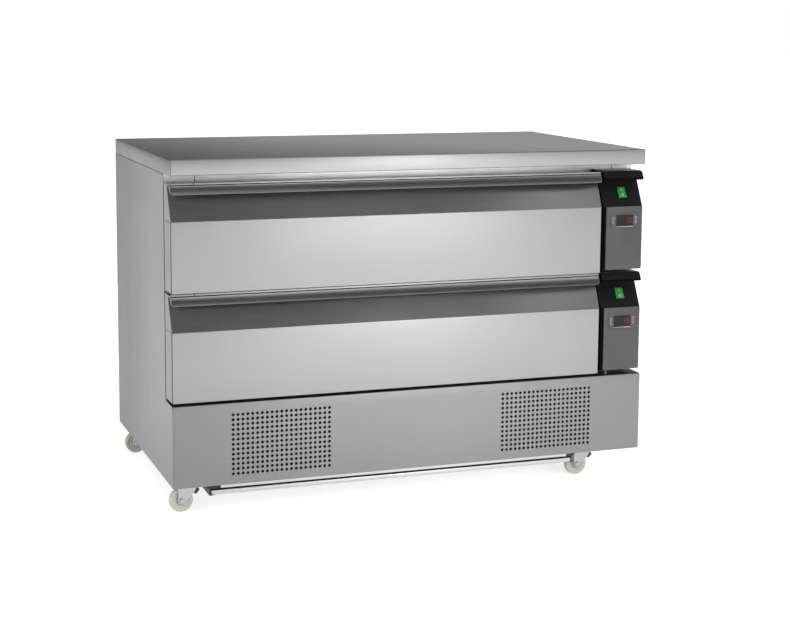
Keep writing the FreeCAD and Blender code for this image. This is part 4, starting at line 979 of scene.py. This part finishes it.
def fork(corner):
    """A pressed fork with its axle, race and pedal pin."""
    low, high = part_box(f"castor_fork_{corner}")
    wheel_low, wheel_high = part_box(f"castor_wheel_{corner}")
    hub = (wheel_low + wheel_high) / 2
    stem = hub + Vector((STEM_OFFSET, 0, 0))
    pivot = stem + PIVOT
    crown = wheel_high.z + CROWN_GAP
    half = (wheel_high.y - wheel_low.y) / 2 + 0.5 * MM
    outer = half + FORK_SHEET
    made = bmesh.new()
    for side in (-1, 1):
        inner = hub.y + side * half
        strap = bmesh.new()
        drawn_out(strap, [(hub.x - FOOT, inner, hub.z - FOOT), (hub.x - FOOT, inner, crown),
                          (hub.x + FOOT, inner, crown), (hub.x + FOOT, inner, hub.z - FOOT)],
                  (0, side * FORK_SHEET, 0))
        soften(strap, [edge for edge in strap.edges if abs(way(edge).y) > 0.9 and middle(edge).z < hub.z],
               0.95 * FOOT, 7)
        soften(strap, [edge for edge in strap.edges if crisp(edge) and middle(edge).z < crown - 0.1 * MM
                       and abs(middle(edge).y - inner) > MM], 0.5 * MM, 2)
        join_in(made, strap)
        brace = bmesh.new()
        ring = [(hub.x + 5 * MM, hub.z - 6 * MM), (hub.x + 5 * MM, crown), (stem.x + BROW - 2 * MM, crown),
                (pivot.x + 3.5 * MM, pivot.z + 2 * MM), (pivot.x - 2 * MM, pivot.z - 5 * MM),
                (hub.x + 16 * MM, hub.z + 3 * MM)]
        drawn_out(brace, [(x, inner, z) for x, z in ring], (0, side * (FORK_SHEET - 0.8 * MM), 0))
        soften(brace, [edge for edge in brace.edges if abs(way(edge).y) > 0.9
                       and middle(edge).x > pivot.x], 2.5 * MM, 4)
        join_in(made, brace)
    top = bmesh.new()
    corner_box(top, (hub.x - FOOT, hub.y - outer, crown), (stem.x + BROW, hub.y + outer, crown + FORK_SHEET))
    soften(top, [edge for edge in top.edges if crisp(edge) and middle(edge).z > crown + MM], 1.2 * MM, 3)
    join_in(made, top)
    race = bmesh.new()
    tall = high.z - crown - FORK_SHEET
    spun(race, [(5.2 * MM, 0), (RACE, 0), (RACE, tall * 0.35), (RACE - 2 * MM, tall * 0.5),
                (RACE, tall * 0.65), (RACE, tall), (5.2 * MM, tall)], "z", 40)
    join_in(made, race, (stem.x, stem.y, crown + FORK_SHEET))
    join_in(made, cross_rod(AXLE, outer), hub)
    join_in(made, cross_rod(PEDAL_PIN, outer, 16), pivot)
    for side in (-1, 1):
        join_in(made, cross_rod(NUT, FORK_SHEET / 2, 6),
                hub + Vector((0, side * (outer + FORK_SHEET / 2), 0)))
    pressed = piece(f"fork_{corner}", made, zinc_plate, f"castor_fork_{corner}",
                    [f"castor_fork_{corner}"], 35)
    # The cut edges of the fork's cheeks are painted dark as shade.
    second_finish(pressed, zinc_edge_painted_shade, lambda normal, spot: abs(normal.y) < 0.75 and crown > spot.z
                  and half < abs(spot.y - hub.y))
    return pressed


def pedal(corner):
    """A sheet lever on its pin, with a black shoe pushed over its end."""
    low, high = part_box(f"castor_pedal_{corner}")
    pivot = Vector((low.x + EYE, (low.y + high.y) / 2, low.z + EYE))
    rise = PEDAL_LIFT
    lever = bmesh.new()
    ring = [(-EYE, -EYE * 0.7), (-EYE, EYE * 0.7), (-EYE * 0.7, EYE), (PEDAL_LONG - 5 * MM, rise + MM),
            (PEDAL_LONG - 5 * MM, rise - 2 * MM), (EYE * 0.7, -EYE), (-EYE * 0.7, -EYE)]
    drawn_out(lever, [(pivot.x + x, low.y + 1.5 * MM, pivot.z + z) for x, z in ring],
              (0, high.y - low.y - 3 * MM, 0))
    soften(lever, [edge for edge in lever.edges if abs(way(edge).y) > 0.9], 1.2 * MM, 3)
    soften(lever, [edge for edge in lever.edges if crisp(edge) and abs(way(edge).y) < 0.5], 0.4 * MM, 1)
    piece(f"pedal_lever_{corner}", lever, zinc_plate, f"castor_pedal_{corner}",
          [f"castor_pedal_{corner}"])
    shoe = bmesh.new()
    half_wide = (high.y - low.y) / 2
    corner_box(shoe, (-SHOE[0] / 2, -half_wide, -SHOE[1] / 2), (SHOE[0] / 2, half_wide, SHOE[1] / 2))
    bmesh.ops.rotate(shoe, verts=shoe.verts, matrix=Matrix.Rotation(-SHOE_TURN, 3, "Y"))
    bmesh.ops.translate(shoe, verts=shoe.verts, vec=pivot + SHOE_PLACE)
    crosswise = [edge for edge in shoe.edges if abs(way(edge).y) > 0.9]
    soften(shoe, crosswise, 1.6 * MM, 4)
    soften(shoe, [edge for edge in shoe.edges if crisp(edge)], 0.5 * MM, 1)
    return piece(f"pedal_shoe_{corner}", shoe, pedal_plastic, f"castor_pedal_{corner}")


for corner in CORNERS:
    wheel(corner)
    fork(corner)
    pedal(corner)

# %% [markdown]
# ## Coils
# A condenser or a cooler is a pack of thin fins on rows of tube, held by an end plate at each side.
# One fin is a flat box, and the pack repeats it along the coil. The fins show through the grille, and the
# condenser's fins are painted dark as the shade behind it.

# %% Finned coils
FIN_PITCH = 3.4 * MM
FIN = 0.5 * MM
END_PLATE = 1.5 * MM
TUBE = 4.5 * MM


def solid_box(name, axis, split, upper):
    """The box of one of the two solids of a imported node, split along an axis."""
    points = [vert.co for vert in nodes[name].data.vertices if (vert.co[axis] > split) == upper]
    low = Vector(min(point[way_on] for point in points) for way_on in range(3))
    high = Vector(max(point[way_on] for point in points) for way_on in range(3))
    return low, high


def coil(shape, low, high, length):
    """Fins, tubes and end plates of one coil whose tubes run along the axis numbered length."""
    depth = 1 - length
    count = int((high[length] - low[length] - 2 * END_PLATE) / FIN_PITCH)
    for index in range(-1, count + 1):
        fin_low = low.copy()
        fin_high = high.copy()
        if index in (-1, count):
            start = low[length] if index < 0 else high[length] - END_PLATE
            fin_low[length] = start
            fin_high[length] = start + END_PLATE
        else:
            fin_low[length] = low[length] + END_PLATE + (index + 0.5) * FIN_PITCH
            fin_high[length] = fin_low[length] + FIN
            for axis, inset in ((depth, 1.5 * MM), (2, 4 * MM)):
                fin_low[axis] += inset
                fin_high[axis] -= inset
        corner_box(shape, fin_low, fin_high)
    rows = int((high.z - low.z) / (25 * MM))
    turn = Matrix.Rotation(math.pi / 2, 3, "Y" if length == 0 else "X")
    for row in range(rows):
        for share in (0.3, 0.7):
            tube = bmesh.new()
            bmesh.ops.create_cone(tube, cap_ends=True, segments=12, radius1=TUBE, radius2=TUBE,
                                  depth=high[length] - low[length] - 0.4 * MM)
            bmesh.ops.rotate(tube, verts=tube.verts, matrix=turn)
            spot = (low + high) / 2
            spot[depth] = low[depth] + share * (high[depth] - low[depth])
            spot.z = low.z + (row + 0.5) * (high.z - low.z) / rows
            join_in(shape, tube, spot)


shape = bmesh.new()
for upper in (False, True):
    coil(shape, *solid_box("condensers", 0, 0, upper), 0)
# The condenser fins are painted dark as shade behind the grille.
piece("condenser_coils", shape, condenser_fins_painted_shade, "cabinet", ["condensers"])
shape = bmesh.new()
for upper in (False, True):
    coil(shape, *solid_box("coolers", 2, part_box("drawer_front_upper")[0].z, upper), 1)
piece("cooler_coils", shape, cooler_fins, "cabinet", ["coolers"])

# %% [markdown]
# A hermetic compressor is two deep-drawn steel cups that are welded round the middle. It is a turned
# shape, and it stands on four rubber grommets under a pair of welded foot bars.

# %% Compressors
SHELL_ROWS = ((0, 0), (45, 0), (64, 6), (73, 16), (76, 30), (76, 62), (77, 63), (77, 67), (76, 68),
              (76, 92), (72.5, 108), (62, 121), (44, 129), (20, 131.7), (0, 132))
GROMMET = 14 * MM
FOOT_SPREAD = 64 * MM
FOOT_BAR = 26 * MM


def compressor(shape, feet, low, high):
    """One welded shell on its bars, and its grommets."""
    spot = (low + high) / 2
    shell = bmesh.new()
    spun(shell, [(radius * MM, height * MM) for radius, height in SHELL_ROWS], "z", 40)
    loose = [edge for edge in shell.edges if not edge.link_faces]
    bmesh.ops.delete(shell, geom=loose, context="EDGES")
    join_in(shape, shell, (spot.x, spot.y, low.z + GROMMET))
    for side in (-1, 1):
        bar = bmesh.new()
        corner_box(bar, (low.x, spot.y + side * FOOT_SPREAD - FOOT_BAR / 2, low.z + GROMMET),
                   (high.x, spot.y + side * FOOT_SPREAD + FOOT_BAR / 2, low.z + GROMMET + 3 * MM))
        soften(bar, [edge for edge in bar.edges if abs(way(edge).z) > 0.9], 8 * MM, 5)
        join_in(shape, bar)
        for hand in (-1, 1):
            foot = bmesh.new()
            spun(foot, [(3 * MM, 0), (12 * MM, 0), (12 * MM, 4 * MM), (9 * MM, 6 * MM), (12 * MM, 8 * MM),
                        (12 * MM, GROMMET), (3 * MM, GROMMET)], "z", 20)
            join_in(feet, foot, (spot.x + hand * FOOT_SPREAD, spot.y + side * FOOT_SPREAD, low.z))
    box = bmesh.new()
    corner_box(box, (spot.x - 22 * MM, low.y - 0.5 * MM, low.z + 60 * MM),
               (spot.x + 22 * MM, spot.y - 66 * MM, low.z + 100 * MM))
    soften(box, box.edges[:], 3 * MM, 3)
    join_in(feet, box)


shells = bmesh.new()
feet = bmesh.new()
for upper in (False, True):
    compressor(shells, feet, *solid_box("compressors", 0, 0, upper))
piece("compressor_shells", shells, shell_enamel, "cabinet", ["compressors"], 50)
piece("compressor_feet", feet, seal_rubber, "cabinet")

# %% [markdown]
# ## Drip tray
# The tray hangs in two runners under the base. Its front is a hollow hem that serves as the pull.

# %% Drip tray
HEM_DEEP = 20 * MM
low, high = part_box("drip_tray")
shape = bmesh.new()
corner_box(shape, low, (high.x, low.y + HEM_DEEP, high.z))
soften(shape, [edge for edge in shape.edges if abs(way(edge).z) > 0.9 and middle(edge).y < low.y + MM],
       6 * MM, 3)
soften(shape, [edge for edge in shape.edges if crisp(edge) and middle(edge).y < low.y + 10 * MM],
       1.6 * MM, 3)
pan = bmesh.new()
corner_box(pan, (low.x, low.y + HEM_DEEP, low.z), high)
top = max(pan.faces, key=lambda face: face.calc_center_median().z)
bmesh.ops.inset_individual(pan, faces=[top], thickness=SKIN, depth=0)
push_in(pan, top, high.z - low.z - SKIN)
join_in(shape, pan)
piece("drip_pan", shape, frame_steel_and_painted_highlight, "drip_tray", ["drip_tray"])

# %% [markdown]
# ## Camera
# The camera stands to the left of the counter, turned to the right and a little down, at the height
# of a person's eyes bent to the worktop. A small shift keeps the picture's framing without tilting.

# %% Camera
CAMERA_PLACE = Vector((-1.396, -4.048, 1.172))
YAW = math.radians(19.82)
PITCH_DOWN = math.radians(7.56)
ROLL = math.radians(-0.40)
FOCAL_PIXELS = 1634
IMAGE_WIDTH = 790
SENSOR = 36

ahead = Vector((math.sin(YAW) * math.cos(PITCH_DOWN), math.cos(YAW) * math.cos(PITCH_DOWN),
                -math.sin(PITCH_DOWN)))
right = Vector((math.cos(YAW), -math.sin(YAW), 0))
down = ahead.cross(right)
rolled_right = math.cos(ROLL) * right + math.sin(ROLL) * down
rolled_down = -math.sin(ROLL) * right + math.cos(ROLL) * down
camera_data = bpy.data.cameras.new("camera")
camera_data.sensor_width = SENSOR
camera_data.lens = FOCAL_PIXELS * SENSOR / IMAGE_WIDTH
camera_data.shift_y = -0.1
camera = bpy.data.objects.new("camera", camera_data)
turn = Matrix((rolled_right, -rolled_down, -ahead)).transposed()
camera.matrix_world = Matrix.Translation(CAMERA_PLACE) @ turn.to_4x4()
scene.collection.objects.link(camera)
scene.camera = camera
print("lens", round(camera_data.lens, 2))

# %% [markdown]
# ## Light, floor and background
# A pale floor runs into a white surround. The ceiling is darker, as in a photographer's room, which
# is what makes sloping and level steel read darker than upright steel. Two wide soft lamps stand in
# front. The floor adds a little light of its own for the camera only, so that it reads as white and
# still holds the counter's shadow.

# %% World
world = bpy.data.worlds.new("studio")
scene.world = world
world.use_nodes = True
tree = world.node_tree
tree.nodes.clear()
place = tree.nodes.new("ShaderNodeTexCoord")
parts = tree.nodes.new("ShaderNodeSeparateXYZ")
height = tree.nodes.new("ShaderNodeMapRange")
height.interpolation_type = "SMOOTHSTEP"
height.inputs["From Min"].default_value = 0.05
height.inputs["From Max"].default_value = 0.42
height.inputs["To Min"].default_value = 1.0
height.inputs["To Max"].default_value = 0.16
beside = tree.nodes.new("ShaderNodeMapRange")
beside.interpolation_type = "SMOOTHSTEP"
beside.inputs["From Min"].default_value = 0.1
beside.inputs["From Max"].default_value = 0.27
beside.inputs["To Min"].default_value = 0.5
beside.inputs["To Max"].default_value = 0.0
behind = tree.nodes.new("ShaderNodeMapRange")
behind.interpolation_type = "SMOOTHSTEP"
behind.inputs["From Min"].default_value = 0.1
behind.inputs["From Max"].default_value = 0.6
flat = tree.nodes.new("ShaderNodeMath")
flat.operation = "MULTIPLY"
rest = tree.nodes.new("ShaderNodeMath")
rest.operation = "SUBTRACT"
rest.inputs[0].default_value = 1.0
shaded = tree.nodes.new("ShaderNodeMath")
shaded.operation = "MULTIPLY"
path = tree.nodes.new("ShaderNodeLightPath")
surround = tree.nodes.new("ShaderNodeBackground")
white = tree.nodes.new("ShaderNodeBackground")
white.inputs["Color"].default_value = (1, 1, 1, 1)
even = tree.nodes.new("ShaderNodeBackground")
even.inputs["Color"].default_value = (0.8, 0.8, 0.8, 1)
choose_even = tree.nodes.new("ShaderNodeMixShader")
choose = tree.nodes.new("ShaderNodeMixShader")
out = tree.nodes.new("ShaderNodeOutputWorld")
tree.links.new(place.outputs["Generated"], parts.inputs["Vector"])
tree.links.new(parts.outputs["Z"], height.inputs["Value"])
tree.links.new(parts.outputs["X"], beside.inputs["Value"])
tree.links.new(parts.outputs["Y"], behind.inputs["Value"])
tree.links.new(beside.outputs["Result"], flat.inputs[0])
tree.links.new(behind.outputs["Result"], flat.inputs[1])
tree.links.new(flat.outputs["Value"], rest.inputs[1])
tree.links.new(height.outputs["Result"], shaded.inputs[0])
tree.links.new(rest.outputs["Value"], shaded.inputs[1])
tree.links.new(shaded.outputs["Value"], surround.inputs["Color"])
tree.links.new(path.outputs["Is Camera Ray"], choose.inputs["Fac"])
tree.links.new(path.outputs["Is Diffuse Ray"], choose_even.inputs["Fac"])
tree.links.new(surround.outputs["Background"], choose_even.inputs[1])
tree.links.new(even.outputs["Background"], choose_even.inputs[2])
tree.links.new(choose_even.outputs["Shader"], choose.inputs[1])
tree.links.new(white.outputs["Background"], choose.inputs[2])
tree.links.new(choose.outputs["Shader"], out.inputs["Surface"])

# %% Floor
FLOOR_SIZE = 40
shape = bmesh.new()
bmesh.ops.create_grid(shape, x_segments=1, y_segments=1, size=FLOOR_SIZE / 2)
mesh = bpy.data.meshes.new("floor")
shape.to_mesh(mesh)
shape.free()
floor = bpy.data.objects.new("floor", mesh)
scene.collection.objects.link(floor)
floor_paint = bpy.data.materials.new("floor_paint")
floor_paint.use_nodes = True
tree = floor_paint.node_tree
tree.nodes.clear()
matt = tree.nodes.new("ShaderNodeBsdfDiffuse")
matt.inputs["Color"].default_value = (0.8, 0.8, 0.8, 1)
glow = tree.nodes.new("ShaderNodeEmission")
path = tree.nodes.new("ShaderNodeLightPath")
lift = tree.nodes.new("ShaderNodeMath")
lift.operation = "MULTIPLY"
lift.inputs[1].default_value = 0.6
both = tree.nodes.new("ShaderNodeAddShader")
out = tree.nodes.new("ShaderNodeOutputMaterial")
seen = tree.nodes.new("ShaderNodeMath")
seen.operation = "MAXIMUM"
tree.links.new(path.outputs["Is Camera Ray"], seen.inputs[0])
tree.links.new(path.outputs["Is Glossy Ray"], seen.inputs[1])
tree.links.new(seen.outputs["Value"], lift.inputs[0])
tree.links.new(lift.outputs["Value"], glow.inputs["Strength"])
tree.links.new(matt.outputs["BSDF"], both.inputs[0])
tree.links.new(glow.outputs["Emission"], both.inputs[1])
tree.links.new(both.outputs["Shader"], out.inputs["Surface"])
mesh.materials.append(floor_paint)


# %% Lamps
def lamp(name, spot, aim, width, tall, power, spin=0.0):
    """A wide soft lamp that points at a spot, spun about its own line."""
    data = bpy.data.lights.new(name, "AREA")
    data.shape = "RECTANGLE"
    data.size = width
    data.size_y = tall
    data.energy = power
    made = bpy.data.objects.new(name, data)
    made.location = spot
    made.rotation_mode = "QUATERNION"
    aimed = (Vector(aim) - Vector(spot)).to_track_quat("-Z", "Y")
    made.rotation_quaternion = aimed @ Quaternion((0, 0, 1), math.radians(spin))
    scene.collection.objects.link(made)
    return made


lamp("soft_front", (1.0, -3.35, 0.86), (0, -0.35, 0.5), 0.5, 1.7, 14)
lamp("soft_low", (0.5, -1.75, 0.5), (0.5, -1.75, 0.0), 0.35, 2.0, 8, 28)
lamp("soft_right", (3.6, -2.5, 2.8), (0.5, -0.35, 0.6), 1.3, 1.3, 6)
lamp("soft_left", (-4.5, -2.5, 2.2), (0, 0, 0.5), 2.5, 2.0, 20)
lamp("soft_top", (0.5, -1.0, 3.6), (0, 0, 0.5), 3.0, 2.5, 20)
scene.view_settings.view_transform = "Standard"
